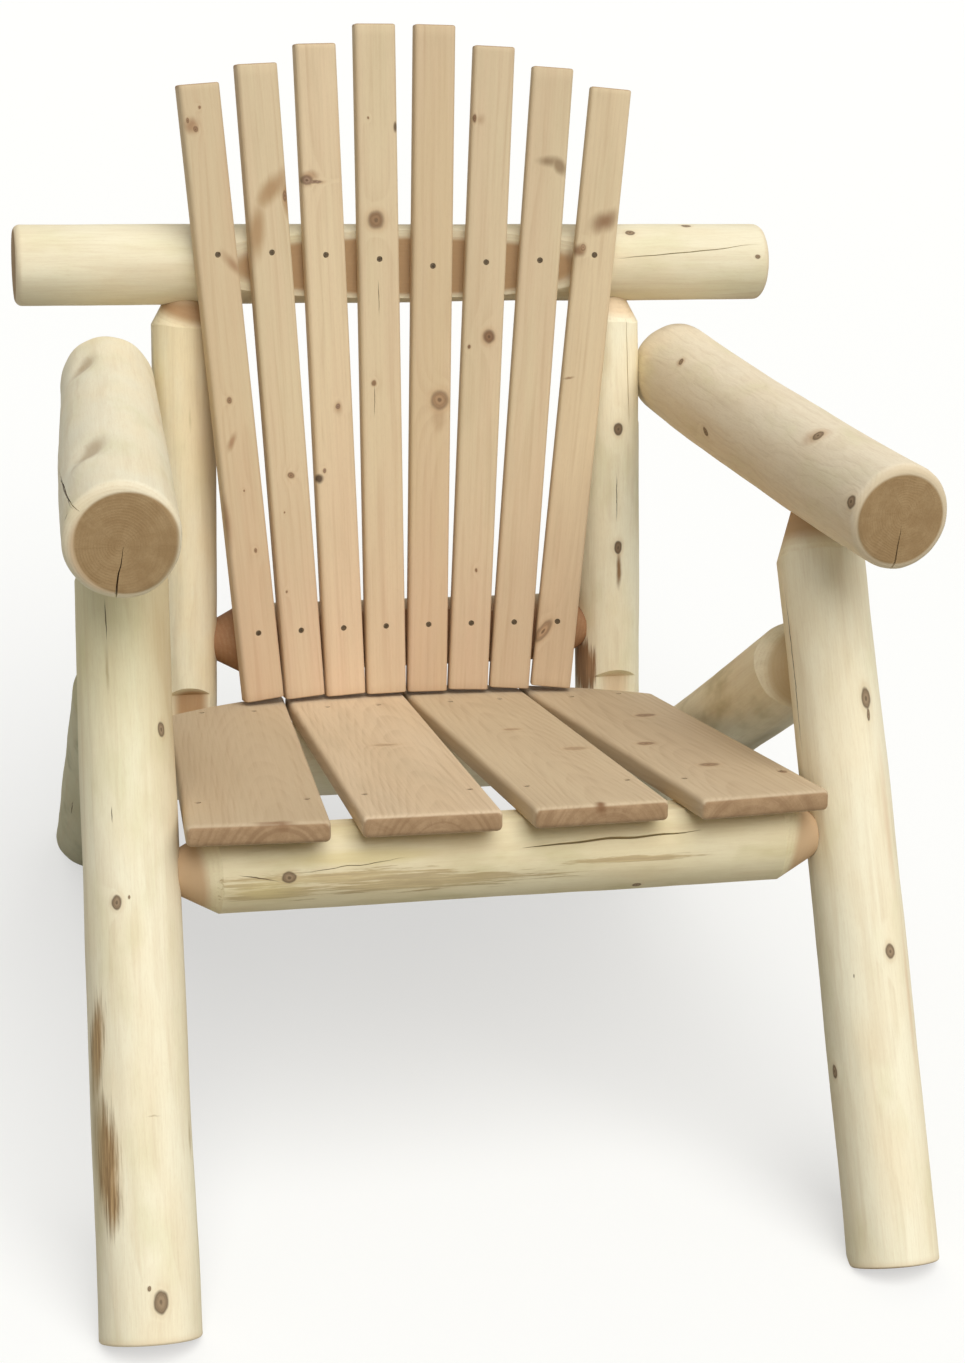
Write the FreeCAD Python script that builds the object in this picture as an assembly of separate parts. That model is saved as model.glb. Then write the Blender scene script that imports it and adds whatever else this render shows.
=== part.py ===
import FreeCAD, Part
import math
import os

Vector = FreeCAD.Vector

# Driving dimensions in millimetres and degrees.
# The chair faces -Y with Z up. Left and right are as seen from the front, so right is +X.
# Heights are measured from the floor, setbacks from the line through the front feet.

# Log stock
front_leg_diameter = 95.5
rear_leg_diameter = 100.0
arm_diameter = 108.0
post_diameter = 76.0
top_rail_diameter = 90.0
lower_rail_diameter = 80.0
seat_rail_diameter = 88.0
log_end_ease = 7.0
foot_ease = 3.0

# Turned joint: a pencil cone that runs down to a round tenon
tenon_diameter = 38.0
tenon_length = 50.0
tenon_shoulder = 3.0
cone_half_angle = 28.0
leg_cone_half_angle = 21.0
tenon_clearance = 0.3
mortise_bottom_gap = 3.0

# Side frames
leg_seat_gap = 4.35
front_leg_rake = 33.75
front_leg_lean = 1.07
rear_leg_joint_height = 536.0
rear_foot_setback = 959.5
rear_foot_toe_in = 35.5
arm_joint_height = 700.0
arm_fall = 5.63
arm_overhang = 220.0
arm_tail = 14.0
arm_lap = 5.0

# Seat
front_rail_height = 369.0
rear_rail_height = 259.5
seat_flat_depth = 4.0
board_count = 4
board_width = 139.7
board_thickness = 22.0
board_edge_radius = 5.0
board_front_gap = 32.0
board_rear_gap = 5.5
seat_overhang = 63.0
seat_tail = 82.0
seat_rear_sag = 102.6

# Back
back_recline = 15.5
top_rail_rise = 565.5
top_rail_overhang = 190.5
lower_rail_rise = 131.5
post_outset = 8.35
post_lean = 9.0
post_notch_depth = 9.5
post_notch_top = 82.0
post_foot_drop = 52.0
rear_rail_flat_depth = 2.0
slat_count = 8
slat_width = 47.0
slat_thickness = 21.0
slat_edge_radius = 4.0
slat_gap_top = 16.0
slat_gap_low = 4.5
slat_bed = 23.0
slat_bed_edge_depth = 3.5
slat_bed_gap = 0.3
slat_head = 266.0
slat_head_step = 22.5
slat_foot_gap = 4.0

# Fasteners
screw_head_diameter = 6.6
screw_shank_diameter = 4.2
screw_sink = 1.0
screw_hole_clearance = 0.1
slat_screw_length = 45.0
slat_screw_rises_upper = (12.0, 14.0, 11.0, 6.0, -2.0, 2.0, 4.0, 10.0)
slat_screw_rise_lower = 16.0
seat_screw_length = 50.0
seat_screw_inset_front = 16.0
seat_screw_inset_rear = 40.0
seat_screw_setback_front = 24.0
seat_screw_lead_rear = 10.0
lag_shank_diameter = 9.5
lag_head_width = 17.0
lag_head_height = 7.0
lag_bite = 45.0
lag_washer_diameter = 26.0
lag_washer_thickness = 2.0
lag_counterbore_depth = 16.0

front_leg_radius = front_leg_diameter / 2
rear_leg_radius = rear_leg_diameter / 2
arm_radius = arm_diameter / 2
post_radius = post_diameter / 2
top_rail_radius = top_rail_diameter / 2
lower_rail_radius = lower_rail_diameter / 2
seat_rail_radius = seat_rail_diameter / 2
cone_tip_radius = tenon_diameter / 2 + tenon_shoulder

# The legs stand clear of the boards' front corners, the posts' outer sides just past the rear corners
seat_front_width = board_count * board_width + (board_count - 1) * board_front_gap
seat_rear_width = board_count * board_width + (board_count - 1) * board_rear_gap
front_foot_spread = seat_front_width + front_leg_diameter + 2 * leg_seat_gap
rear_foot_spread = front_foot_spread - 2 * rear_foot_toe_in
post_spread_low = seat_rear_width + 2 * post_outset - post_diameter
post_spread_top = post_spread_low - 2 * post_lean
top_rail_length = post_spread_top + 2 * top_rail_overhang
slat_pitch_top = slat_width + slat_gap_top
slat_pitch_low = slat_width + slat_gap_low


def arc_radius(half_width, sag):
    return (half_width ** 2 + sag ** 2) / (2 * sag)


# The rails' hollow leaves a shallow flat under the outermost slats, and both rails turn each slat alike
slat_field = slat_pitch_top * (slat_count - 1) / 2
slat_bed_radius_top = arc_radius(slat_field, top_rail_radius - slat_bed_edge_depth - slat_bed)
slat_bed_radius_low = slat_bed_radius_top * slat_pitch_low / slat_pitch_top
seat_rear_radius = arc_radius(seat_rear_width / 2, seat_rear_sag)

across = Vector(1, 0, 0)
upright = Vector(0, 0, 1)
reach = 3 * (front_foot_spread + rear_foot_setback)


def tangent(degrees):
    return math.tan(math.radians(degrees))


def unit(vector):
    return Vector(vector).normalize()


def at_height(point, direction, height):
    return point + direction * ((height - point.z) / direction.z)


def revolved(outline, base, direction):
    points = [Vector(radius, 0, along) for radius, along in outline]
    face = Part.Face(Part.makePolygon(points + points[:1]))
    solid = face.revolve(Vector(0, 0, 0), upright, 360)
    solid.Placement = FreeCAD.Placement(base, FreeCAD.Rotation(upright, direction))
    return solid


def cone_length(radius, half_angle=cone_half_angle):
    return (radius - cone_tip_radius) / tangent(half_angle)


# A log from start to end. An end with a tenon starts at the tip of its cone, and the tenon goes on past it.
# Grow makes the matching socket cutter.
def turned_log(start, end, radius, start_tenon=0.0, end_tenon=0.0, ease=log_end_ease, grow=0.0,
               half_angle=cone_half_angle):
    length = (end - start).Length
    tenon = tenon_diameter / 2 + grow
    tip = cone_tip_radius + grow
    full = radius + grow
    outline = []
    if start_tenon:
        outline += [(0, -start_tenon), (tenon, -start_tenon), (tenon, 0)]
        outline += [(tip, 0), (full, cone_length(radius, half_angle))]
    else:
        outline += [(0, 0), (full - ease, 0), (full, ease)]
    if end_tenon:
        foot = length - cone_length(radius, half_angle)
        outline += [(full, foot), (tip, length), (tenon, length), (tenon, length + end_tenon)]
        outline += [(0, length + end_tenon)]
    else:
        outline += [(full, length - ease), (full - ease, length), (0, length)]
    return revolved(outline, start, unit(end - start))


# Distance from the crossing of two axes to the tip of the cone, so that the tip lies under the host's skin
def cone_setback(member, host, host_radius):
    cosine = abs(member.dot(host))
    sine = math.sqrt(1 - cosine ** 2)
    return (math.sqrt(host_radius ** 2 - cone_tip_radius ** 2) - cone_tip_radius * cosine) / sine


# Bore and countersink that take the coned end of a log, with clearance all round
def socket(tip, outward, radius, half_angle=cone_half_angle):
    far_end = tip + outward * (cone_length(radius, half_angle) + radius)
    depth = tenon_length + mortise_bottom_gap
    return turned_log(tip, far_end, radius, start_tenon=depth, grow=tenon_clearance, half_angle=half_angle)


def block(origin, along_x, along_y, along_z, low, high):
    solid = Part.makeBox(high[0] - low[0], high[1] - low[1], high[2] - low[2], Vector(*low))
    solid.Placement = placed(origin, along_x, along_y, along_z)
    return solid


def placed(origin, along_x, along_y, along_z):
    return FreeCAD.Placement(FreeCAD.Matrix(
        along_x.x, along_y.x, along_z.x, origin.x,
        along_x.y, along_y.y, along_z.y, origin.y,
        along_x.z, along_y.z, along_z.z, origin.z,
        0, 0, 0, 1))


# Countersunk wood screw. The head's face is at head, and the grown form is the hole it sits in.
def wood_screw(head, inward, length, grow=0.0):
    head_radius = screw_head_diameter / 2 + grow
    shank = screw_shank_diameter / 2 + grow
    taper = (screw_head_diameter - screw_shank_diameter) / 2
    outline = [(head_radius, 0), (shank, taper), (shank, length - 2 * shank), (0, length + grow)]
    if grow:
        outline = [(0, -2 * screw_sink), (head_radius, -2 * screw_sink)] + outline
    else:
        outline = [(0, 0)] + outline
    return revolved(outline, head, inward)


def lag_screw(bearing, inward, length):
    corner_radius = lag_head_width / 2 / math.cos(math.radians(30))
    corners = []
    for index in range(7):
        angle = math.radians(60 * index)
        flat = Vector(math.cos(angle), math.sin(angle), 0) * corner_radius
        corners.append(flat - upright * lag_head_height)
    head = Part.Face(Part.makePolygon(corners)).extrude(Vector(0, 0, lag_head_height))
    head.Placement = FreeCAD.Placement(bearing, FreeCAD.Rotation(upright, inward))
    shank = lag_shank_diameter / 2
    outline = [(0, 0), (shank, 0), (shank, length - lag_shank_diameter), (0, length)]
    return head.fuse(revolved(outline, bearing, inward)).removeSplitter()


def lag_hole(bearing, inward, length):
    shank = lag_shank_diameter / 2 + screw_hole_clearance
    bore = lag_washer_diameter / 2 + screw_hole_clearance * 10
    outline = [(0, -reach / 20), (bore, -reach / 20), (bore, 0), (shank, 0)]
    outline += [(shank, length - lag_shank_diameter), (0, length + screw_hole_clearance)]
    return revolved(outline, bearing, inward)


def lag_washer(bearing, inward):
    inner = lag_shank_diameter / 2 + screw_hole_clearance * 3
    outer = lag_washer_diameter / 2
    outline = [(inner, 0), (outer, 0), (outer, lag_washer_thickness), (inner, lag_washer_thickness)]
    return revolved(outline, bearing, inward)


parts = {}
floor_block = Part.makeBox(reach, reach, reach, Vector(-reach / 2, -reach / 2, -reach))


# Skeleton of the side frames, one set of axes for each side
def side_axes(side):
    foot = Vector(side * front_foot_spread / 2, 0, 0)
    leg = unit(Vector(-side * tangent(front_leg_lean), tangent(front_leg_rake), 1))
    rear_foot = Vector(side * rear_foot_spread / 2, rear_foot_setback, 0)
    rear_joint = at_height(foot, leg, rear_leg_joint_height)
    rear_leg = unit(rear_joint - rear_foot)
    return {
        "foot": foot,
        "leg": leg,
        "rear_foot": rear_foot,
        "rear_joint": rear_joint,
        "rear_leg": rear_leg,
        "front_rail": at_height(foot, leg, front_rail_height),
        "rear_rail": at_height(rear_foot, rear_leg, rear_rail_height),
        "arm_joint": at_height(foot, leg, arm_joint_height),
    }


axes = {"left": side_axes(-1), "right": side_axes(1)}
sides = {"left": -1, "right": 1}

# Seat frame: origin on the front rail's axis at mid-width, running back to the rear rail's axis
seat_origin = Vector(0, axes["right"]["front_rail"].y, axes["right"]["front_rail"].z)
rear_rail_centre = Vector(0, axes["right"]["rear_rail"].y, axes["right"]["rear_rail"].z)
seat_back = unit(rear_rail_centre - seat_origin)
seat_up = across.cross(seat_back)
board_underside = seat_rail_radius - seat_flat_depth
seat_top = board_underside + board_thickness

# Back frame: the posts and both back rails lie in one leaning plane behind the rear seat rail
back_up = Vector(0, math.sin(math.radians(back_recline)), math.cos(math.radians(back_recline)))
back_front = across.cross(back_up)
notch_plane = post_radius - post_notch_depth
post_to_rail = notch_plane + seat_rail_radius - rear_rail_flat_depth
back_origin = rear_rail_centre - back_front * post_to_rail
top_rail_centre = back_origin + back_up * top_rail_rise
lower_rail_centre = back_origin + back_up * lower_rail_rise
seat_run = (rear_rail_centre - seat_origin).Length
seat_length = seat_overhang + seat_run + seat_tail


def post_axes(side):
    top = top_rail_centre + across * (side * post_spread_top / 2)
    low = back_origin + across * (side * post_spread_low / 2)
    return low, unit(top - low), top


# The arm passes over the front leg's axis and ends against the outside of the post
def arm_axes(side, name):
    joint = axes[name]["arm_joint"]
    low, direction, top = post_axes(side)
    fall = tangent(arm_fall)
    recline = tangent(back_recline)
    setback = low.y + (joint.z + fall * joint.y - low.z) * recline + arm_tail
    rear_y = setback / (1 + fall * recline)
    rear_z = joint.z - fall * (rear_y - joint.y)
    post_side = abs(at_height(low, direction, rear_z).x) + post_radius
    rear = Vector(side * (post_side + arm_radius - arm_lap), rear_y, rear_z)
    along = unit(rear - joint)
    return joint - along * arm_overhang, along, rear, side * (post_side - arm_lap / 2)


def slat_lift(offset, bed_radius):
    return slat_bed + slat_bed_gap + bed_radius - math.sqrt(bed_radius ** 2 - offset ** 2)


# Slats: each is set out from its place on the upper and the lower rail's hollow bed
def slat_axes(index):
    place = index - (slat_count - 1) / 2
    top_x = place * slat_pitch_top
    low_x = place * slat_pitch_low
    top = top_rail_centre + across * top_x + back_front * slat_lift(top_x, slat_bed_radius_top)
    low = lower_rail_centre + across * low_x + back_front * slat_lift(low_x, slat_bed_radius_low)
    along = unit(top - low)
    facing = back_front - across * (top_x / slat_bed_radius_top)
    facing = unit(facing - along * facing.dot(along))
    return top, low, along, facing


def slat_screw_places(index):
    top, low, along, facing = slat_axes(index)
    rise = slat_screw_rises_upper[index % len(slat_screw_rises_upper)]
    face = facing * (slat_thickness - screw_sink)
    return top + along * rise + face, low + along * slat_screw_rise_lower + face, facing * -1


# Boards: each is set out from its middle at the front edge and over the rear rail
def board_axes(index):
    place = index - (board_count - 1) / 2
    front_x = place * (board_width + board_front_gap)
    rear_x = place * (board_width + board_rear_gap)
    start = seat_origin + across * front_x - seat_back * seat_overhang + seat_up * board_underside
    finish = seat_origin + across * rear_x + seat_back * seat_run + seat_up * board_underside
    along = unit(finish - start)
    return start, along, along.cross(seat_up)


def board_screw_places(index):
    start, along, sideways = board_axes(index)
    front = []
    rear = []
    head = start + seat_up * (board_thickness - screw_sink)
    for side in (-1, 1):
        front_offset = sideways * (side * (board_width / 2 - seat_screw_inset_front))
        rear_offset = sideways * (side * (board_width / 2 - seat_screw_inset_rear))
        front.append(head + front_offset + along * (seat_overhang + seat_screw_setback_front))
        rear.append(head + rear_offset + along * (seat_overhang + seat_run - seat_screw_lead_rear))
    return front, rear


slat_screw_holes_upper = []
slat_screw_holes_lower = []
slat_screws_upper = []
slat_screws_lower = []
for index in range(slat_count):
    upper, lower, inward = slat_screw_places(index)
    slat_screws_upper.append(wood_screw(upper, inward, slat_screw_length))
    slat_screws_lower.append(wood_screw(lower, inward, slat_screw_length))
    slat_screw_holes_upper.append(wood_screw(upper, inward, slat_screw_length, screw_hole_clearance))
    slat_screw_holes_lower.append(wood_screw(lower, inward, slat_screw_length, screw_hole_clearance))

seat_screws_front = []
seat_screws_rear = []
seat_holes_front = []
seat_holes_rear = []
for index in range(board_count):
    front, rear = board_screw_places(index)
    for head in front:
        seat_screws_front.append(wood_screw(head, seat_up * -1, seat_screw_length))
        seat_holes_front.append(wood_screw(head, seat_up * -1, seat_screw_length, screw_hole_clearance))
    for head in rear:
        seat_screws_rear.append(wood_screw(head, seat_up * -1, seat_screw_length))
        seat_holes_rear.append(wood_screw(head, seat_up * -1, seat_screw_length, screw_hole_clearance))

arm_lags = []
post_lags = []
lag_washers = []

# Side frames and posts
for name, side in sides.items():
    line = axes[name]
    inward = across * -side
    arm_front, arm_along, arm_rear, arm_plane = arm_axes(side, name)
    post_low, post_up, post_top = post_axes(side)

    leg = line["leg"]
    rear = line["rear_leg"]
    front_leg_tip = line["arm_joint"] - leg * cone_setback(leg, arm_along, arm_radius)
    rear_leg_tip = line["rear_joint"] - rear * cone_setback(rear, leg, front_leg_radius)
    front_rail_tip = line["front_rail"] + inward * cone_setback(inward, leg, front_leg_radius)
    rear_rail_tip = line["rear_rail"] + inward * cone_setback(inward, rear, rear_leg_radius)
    post_tip = post_top - post_up * cone_setback(post_up, across, top_rail_radius)
    lower_rail_joint = post_low + post_up * (lower_rail_rise / post_up.dot(back_up))
    lower_rail_tip = lower_rail_joint + inward * cone_setback(inward, post_up, post_radius)
    line["front_rail_tip"] = front_rail_tip
    line["rear_rail_tip"] = rear_rail_tip
    line["lower_rail_tip"] = lower_rail_tip
    line["post_socket"] = socket(post_tip, post_up * -1, post_radius)

    # The lag screws go in from the post's inner side and from its back
    arm_lag_middle = Vector(arm_plane, arm_rear.y - arm_tail, arm_rear.z)
    arm_lag_seat = arm_lag_middle + inward * (2 * post_radius - arm_lap / 2 - lag_counterbore_depth)
    arm_lag_length = (arm_lag_middle - arm_lag_seat).Length + lag_bite
    arm_lag_hole = lag_hole(arm_lag_seat, inward * -1, arm_lag_length)
    post_lag_seat = post_low - back_front * (post_radius - lag_counterbore_depth)
    post_lag_length = notch_plane + post_radius - lag_counterbore_depth + lag_bite
    post_lag_hole = lag_hole(post_lag_seat, back_front, post_lag_length)
    line["post_lag_hole"] = post_lag_hole
    under_head = lag_washer_thickness
    arm_lag_head = arm_lag_seat + inward * under_head
    post_lag_head = post_lag_seat - back_front * under_head
    arm_lags.append(lag_screw(arm_lag_head, inward * -1, arm_lag_length + under_head))
    post_lags.append(lag_screw(post_lag_head, back_front, post_lag_length + under_head))
    lag_washers.append(lag_washer(arm_lag_seat, inward))
    lag_washers.append(lag_washer(post_lag_seat, back_front * -1))

    # Front leg: square-sawn foot with its heel trimmed level, sockets for the seat rail and the rear leg
    foot = line["foot"]
    front_leg = turned_log(foot, front_leg_tip, front_leg_radius, end_tenon=tenon_length, ease=foot_ease,
                           half_angle=leg_cone_half_angle)
    front_leg = front_leg.cut(floor_block)
    front_leg = front_leg.cut(socket(front_rail_tip, inward, seat_rail_radius))
    front_leg = front_leg.cut(socket(rear_leg_tip, rear * -1, rear_leg_radius))
    parts["front_leg_" + name] = front_leg

    # Rear leg: sawn level at the floor
    below_floor = line["rear_foot"] - rear * rear_leg_diameter
    rear_leg = turned_log(below_floor, rear_leg_tip, rear_leg_radius, end_tenon=tenon_length, ease=foot_ease)
    rear_leg = rear_leg.cut(floor_block)
    rear_leg = rear_leg.cut(socket(rear_rail_tip, inward, seat_rail_radius))
    parts["rear_leg_" + name] = rear_leg

    # Arm: socket for the front leg, and a flat at the rear where it lies against the post
    arm = turned_log(arm_front, arm_rear, arm_radius)
    arm = arm.cut(socket(front_leg_tip, leg * -1, front_leg_radius, leg_cone_half_angle))
    flat_middle = Vector(arm_plane, arm_rear.y, arm_rear.z)
    depth = arm_diameter
    beside = upright.cross(inward)
    arm = arm.cut(block(flat_middle, inward, beside, upright, (0, -depth, -depth), (depth, depth, depth)))
    parts["arm_" + name] = arm.cut(arm_lag_hole)

    # Post: cone and tenon into the top rail, foot notched over the back of the rear seat rail
    post_foot = post_low - post_up * post_foot_drop
    post = turned_log(post_foot, post_tip, post_radius, end_tenon=tenon_length, ease=foot_ease)
    post = post.cut(socket(lower_rail_tip, inward, lower_rail_radius))
    notch = [
        (notch_plane, -reach / 10),
        (notch_plane, post_notch_top - post_notch_depth),
        (notch_plane + post_diameter, post_notch_top - post_notch_depth + post_diameter),
        (notch_plane + post_diameter, -reach / 10),
    ]
    notch_side = post_low - across * post_diameter
    corners = [notch_side + back_front * forward + back_up * up for forward, up in notch]
    notch_block = Part.Face(Part.makePolygon(corners + corners[:1])).extrude(across * (2 * post_diameter))
    post = post.cut(notch_block)
    span = arm_radius
    flat = block(flat_middle, inward * -1, beside * -1, upright, (0, -depth, -span), (depth, depth, span))
    post = post.cut(flat)
    parts["back_post_" + name] = post.cut(arm_lag_hole).cut(post_lag_hole)

# Seat rails: coned at both ends, planed flat where the boards lie
seat_flat = block(seat_origin, across, seat_back, seat_up,
                  (-reach / 2, -reach / 2, board_underside), (reach / 2, reach / 2, reach))
for rail_name, holes in (("front", seat_holes_front), ("rear", seat_holes_rear)):
    tips = [axes[name][rail_name + "_rail_tip"] for name in sides]
    rail = turned_log(tips[0], tips[1], seat_rail_radius, tenon_length, tenon_length).cut(seat_flat)
    if rail_name == "rear":
        for name, side in sides.items():
            post_low = post_axes(side)[0]
            rail = rail.cut(block(post_low, across, back_up, back_front,
                                  (-post_radius, -post_diameter, -post_diameter),
                                  (post_radius, post_diameter, notch_plane)))
            rail = rail.cut(axes[name]["post_lag_hole"])
    parts[rail_name + "_seat_rail"] = rail.cut(holes)


# Hollow planed along the front of a back rail, on which the slats are bedded
def slat_hollow(centre, radius):
    middle = centre + back_front * (slat_bed + radius)
    return Part.makeCylinder(radius, reach / 4, middle - back_up * (reach / 8), back_up)


half_rail = across * (top_rail_length / 2)
top_rail = turned_log(top_rail_centre - half_rail, top_rail_centre + half_rail, top_rail_radius)
top_rail = top_rail.cut(slat_hollow(top_rail_centre, slat_bed_radius_top))
top_rail = top_rail.cut([axes[name]["post_socket"] for name in sides])
parts["top_back_rail"] = top_rail.cut(slat_screw_holes_upper)

tips = [axes[name]["lower_rail_tip"] for name in sides]
lower_rail = turned_log(tips[0], tips[1], lower_rail_radius, tenon_length, tenon_length)
lower_rail = lower_rail.cut(slat_hollow(lower_rail_centre, slat_bed_radius_low))
parts["lower_back_rail"] = lower_rail.cut(slat_screw_holes_lower)


def long_edges(solid, along):
    chosen = []
    for edge in solid.Edges:
        direction = edge.Vertexes[1].Point - edge.Vertexes[0].Point
        if abs(unit(direction).dot(along)) > 0.999:
            chosen.append(edge)
    return chosen


# Fan of back slats: their feet stop just above the seat, and their heads step down from the middle
for index in range(slat_count):
    top, low, along, facing = slat_axes(index)
    sideways = facing.cross(along)
    foot = -reach
    for lift in (0, slat_thickness):
        for half in (-slat_width / 2, slat_width / 2):
            corner = low + facing * lift + sideways * half - seat_origin
            foot = max(foot, (seat_top + slat_foot_gap - corner.dot(seat_up)) / along.dot(seat_up))
    step = math.floor(abs(index - (slat_count - 1) / 2))
    head = (top - low).Length + slat_head - slat_head_step * step
    slat = Part.makeBox(slat_width, slat_thickness, head - foot, Vector(-slat_width / 2, 0, foot))
    slat = slat.makeFillet(slat_edge_radius, long_edges(slat, upright))
    slat.Placement = placed(low, sideways, facing, along)
    slat = slat.cut([slat_screw_holes_upper[index], slat_screw_holes_lower[index]])
    parts["back_slat_" + str(index + 1)] = slat

# Fan of seat boards, their rear ends sawn to one curve
curve_middle = seat_origin + seat_back * (seat_length - seat_overhang - seat_rear_radius)
rear_half = block(curve_middle, across, seat_back, seat_up,
                  (-reach / 2, 0, -reach / 8), (reach / 2, reach, reach / 8))
rear_curve = Part.makeCylinder(seat_rear_radius, reach / 4, curve_middle - seat_up * (reach / 8), seat_up)
behind_curve = rear_half.cut(rear_curve)
for index in range(board_count):
    start, along, sideways = board_axes(index)
    board = Part.makeBox(board_width, 2 * seat_length, board_thickness, Vector(-board_width / 2, 0, 0))
    eased = [edge for edge in board.Edges if edge.CenterOfMass.y < 1.5 * seat_length]
    board = board.makeFillet(board_edge_radius, eased)
    board.Placement = placed(start, sideways, along, seat_up)
    board = board.cut(behind_curve)
    pair = slice(2 * index, 2 * index + 2)
    parts["seat_board_" + str(index + 1)] = board.cut(seat_holes_front[pair] + seat_holes_rear[pair])

parts["slat_screws_upper"] = Part.makeCompound(slat_screws_upper)
parts["slat_screws_lower"] = Part.makeCompound(slat_screws_lower)
parts["seat_screws_front"] = Part.makeCompound(seat_screws_front)
parts["seat_screws_rear"] = Part.makeCompound(seat_screws_rear)
parts["arm_lag_screws"] = Part.makeCompound(arm_lags)
parts["post_lag_screws"] = Part.makeCompound(post_lags)
parts["lag_washers"] = Part.makeCompound(lag_washers)

# The origin is on the floor at the middle of the chair's footprint
front_rim = parts["front_leg_right"].optimalBoundingBox(False, False).YMin
rear_heel = parts["rear_leg_right"].optimalBoundingBox(False, False).YMax
origin_shift = Vector(0, -(front_rim + rear_heel) / 2, 0)

os.makedirs("parts", exist_ok=True)
for node, shape in parts.items():
    solids = []
    for solid in shape.Solids:
        solids.append(solid.translated(origin_shift))
    shape = solids[0] if len(solids) == 1 else Part.makeCompound(solids)
    shape.exportStep("parts/" + node + ".step")
    volume = sum(solid.Volume for solid in solids)
    print(node, len(solids), round(volume), all(solid.isValid() for solid in solids))
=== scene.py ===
import math
import bmesh
import bpy
from mathutils import Matrix, Vector, noise


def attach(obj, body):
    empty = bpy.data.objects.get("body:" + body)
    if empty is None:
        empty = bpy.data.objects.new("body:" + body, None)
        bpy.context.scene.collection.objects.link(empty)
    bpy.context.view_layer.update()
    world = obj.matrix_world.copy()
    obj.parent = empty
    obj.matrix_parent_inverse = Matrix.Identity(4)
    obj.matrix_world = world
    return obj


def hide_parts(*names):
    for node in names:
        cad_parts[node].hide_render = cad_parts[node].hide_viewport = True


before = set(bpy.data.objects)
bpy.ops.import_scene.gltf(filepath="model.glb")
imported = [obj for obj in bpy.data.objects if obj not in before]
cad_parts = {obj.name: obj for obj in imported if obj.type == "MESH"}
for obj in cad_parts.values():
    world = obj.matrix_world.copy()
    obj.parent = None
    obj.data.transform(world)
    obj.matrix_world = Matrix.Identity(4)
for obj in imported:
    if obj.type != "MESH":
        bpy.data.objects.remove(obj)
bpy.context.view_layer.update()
mm = 0.001
right, up = Vector((1, 0, 0)), Vector((0, 0, 1))
print("frame loaded:", len(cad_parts), "nodes")


def axesAt(origin, alongX, alongY, alongZ):
    return Matrix.Translation(origin) @ Matrix((alongX, alongY, alongZ)).transposed().to_4x4()


# camera at the photo's angle
view = {
    "place": (-0.6053, -2.384, 1.6486), "yaw": 0.2616, "pitch": 0.4568, "roll": 0.0732, "lens": 66.72,
    "far": 60,
}
eye = Vector(view["place"])


def setCamera():
    yaw, pitch, roll = view["yaw"], view["pitch"], view["roll"]
    ahead = Vector((math.sin(yaw) * math.cos(pitch), math.cos(yaw) * math.cos(pitch), -math.sin(pitch)))
    level = Vector((math.cos(yaw), -math.sin(yaw), 0))
    upright = level.cross(ahead)
    side = level * math.cos(roll) + upright * math.sin(roll)
    above = upright * math.cos(roll) - level * math.sin(roll)
    bpy.ops.object.camera_add()
    camera = bpy.context.object
    camera.matrix_world = axesAt(eye, side, above, -ahead)
    camera.data.lens = view["lens"]
    camera.data.clip_end = view["far"]
    bpy.context.scene.camera = camera


setCamera()
print("camera set")


def tone(red, green, blue):  # screen colour 0-255 to the linear colour a socket takes
    parts = [c / 255 for c in (red, green, blue)]
    return tuple(c / 12.92 if c <= 0.04045 else ((c + 0.055) / 1.055) ** 2.4 for c in parts) + (1.0,)


# picking, shaping and cutting, with sizes in mm
def pickOnly(piece):
    bpy.ops.object.select_all(action="DESELECT")
    piece.select_set(True)
    bpy.context.view_layer.objects.active = piece


def openMesh(piece):
    pickOnly(piece)
    bpy.ops.object.mode_set(mode="EDIT")
    bpy.context.tool_settings.mesh_select_mode = (False, False, True)


def closeMesh():
    bpy.ops.object.mode_set(mode="OBJECT")


def pick(piece, mode, test):  # picks the edges or faces that pass the test, and no others
    bpy.context.tool_settings.mesh_select_mode = (False, mode == "EDGE", mode == "FACE")
    bpy.ops.mesh.select_all(action="DESELECT")
    cage = bmesh.from_edit_mesh(piece.data)
    for part in cage.edges if mode == "EDGE" else cage.faces:
        if test(part):
            part.select_set(True)
    bmesh.update_edit_mesh(piece.data)


def pickEdges(piece, test):  # the test gets the places of the edge's two ends
    pick(piece, "EDGE", lambda edge: test(edge.verts[0].co, edge.verts[1].co))


def pickCap(piece, away=1):  # the flat end that faces up, or down at -1
    pick(piece, "FACE", lambda face: face.normal.z * away > 0.9)


def pullOut(run, share=1.0):  # draws the picked face out along z and scales it about the axis
    bpy.ops.mesh.extrude_region_move(TRANSFORM_OT_translate={"value": (0, 0, run * mm)})
    bpy.ops.transform.resize(value=(share, share, 1), center_override=(0, 0, 0))


def easeRim(piece, z, ease, segments):  # takes the sharp edge off a sawn end
    pickEdges(piece, lambda a, b: abs(a.z - z * mm) < 1e-6 and abs(b.z - z * mm) < 1e-6)
    bpy.ops.mesh.bevel(offset=ease * mm, segments=segments, profile=0.5)


def settle(piece, matrix):  # the place goes into the mesh
    piece.matrix_world = matrix
    pickOnly(piece)
    bpy.ops.object.transform_apply(location=True, rotation=True, scale=True)


def carve(piece, tool, operation="DIFFERENCE"):
    cut = piece.modifiers.new("cut", "BOOLEAN")
    cut.operation = operation
    cut.solver = "EXACT"
    cut.object = tool
    pickOnly(piece)
    bpy.ops.object.modifier_apply(modifier=cut.name)
    bpy.data.objects.remove(tool)


def sawOff(piece, point, away):  # saws off what lies on the away side
    openMesh(piece)
    bpy.ops.mesh.select_all(action="SELECT")
    bpy.ops.mesh.bisect(plane_co=point, plane_no=away, use_fill=True, clear_outer=True)
    closeMesh()


def smooth(piece, degrees):
    pickOnly(piece)
    bpy.ops.object.shade_smooth_by_angle(angle=math.radians(degrees))


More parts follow.
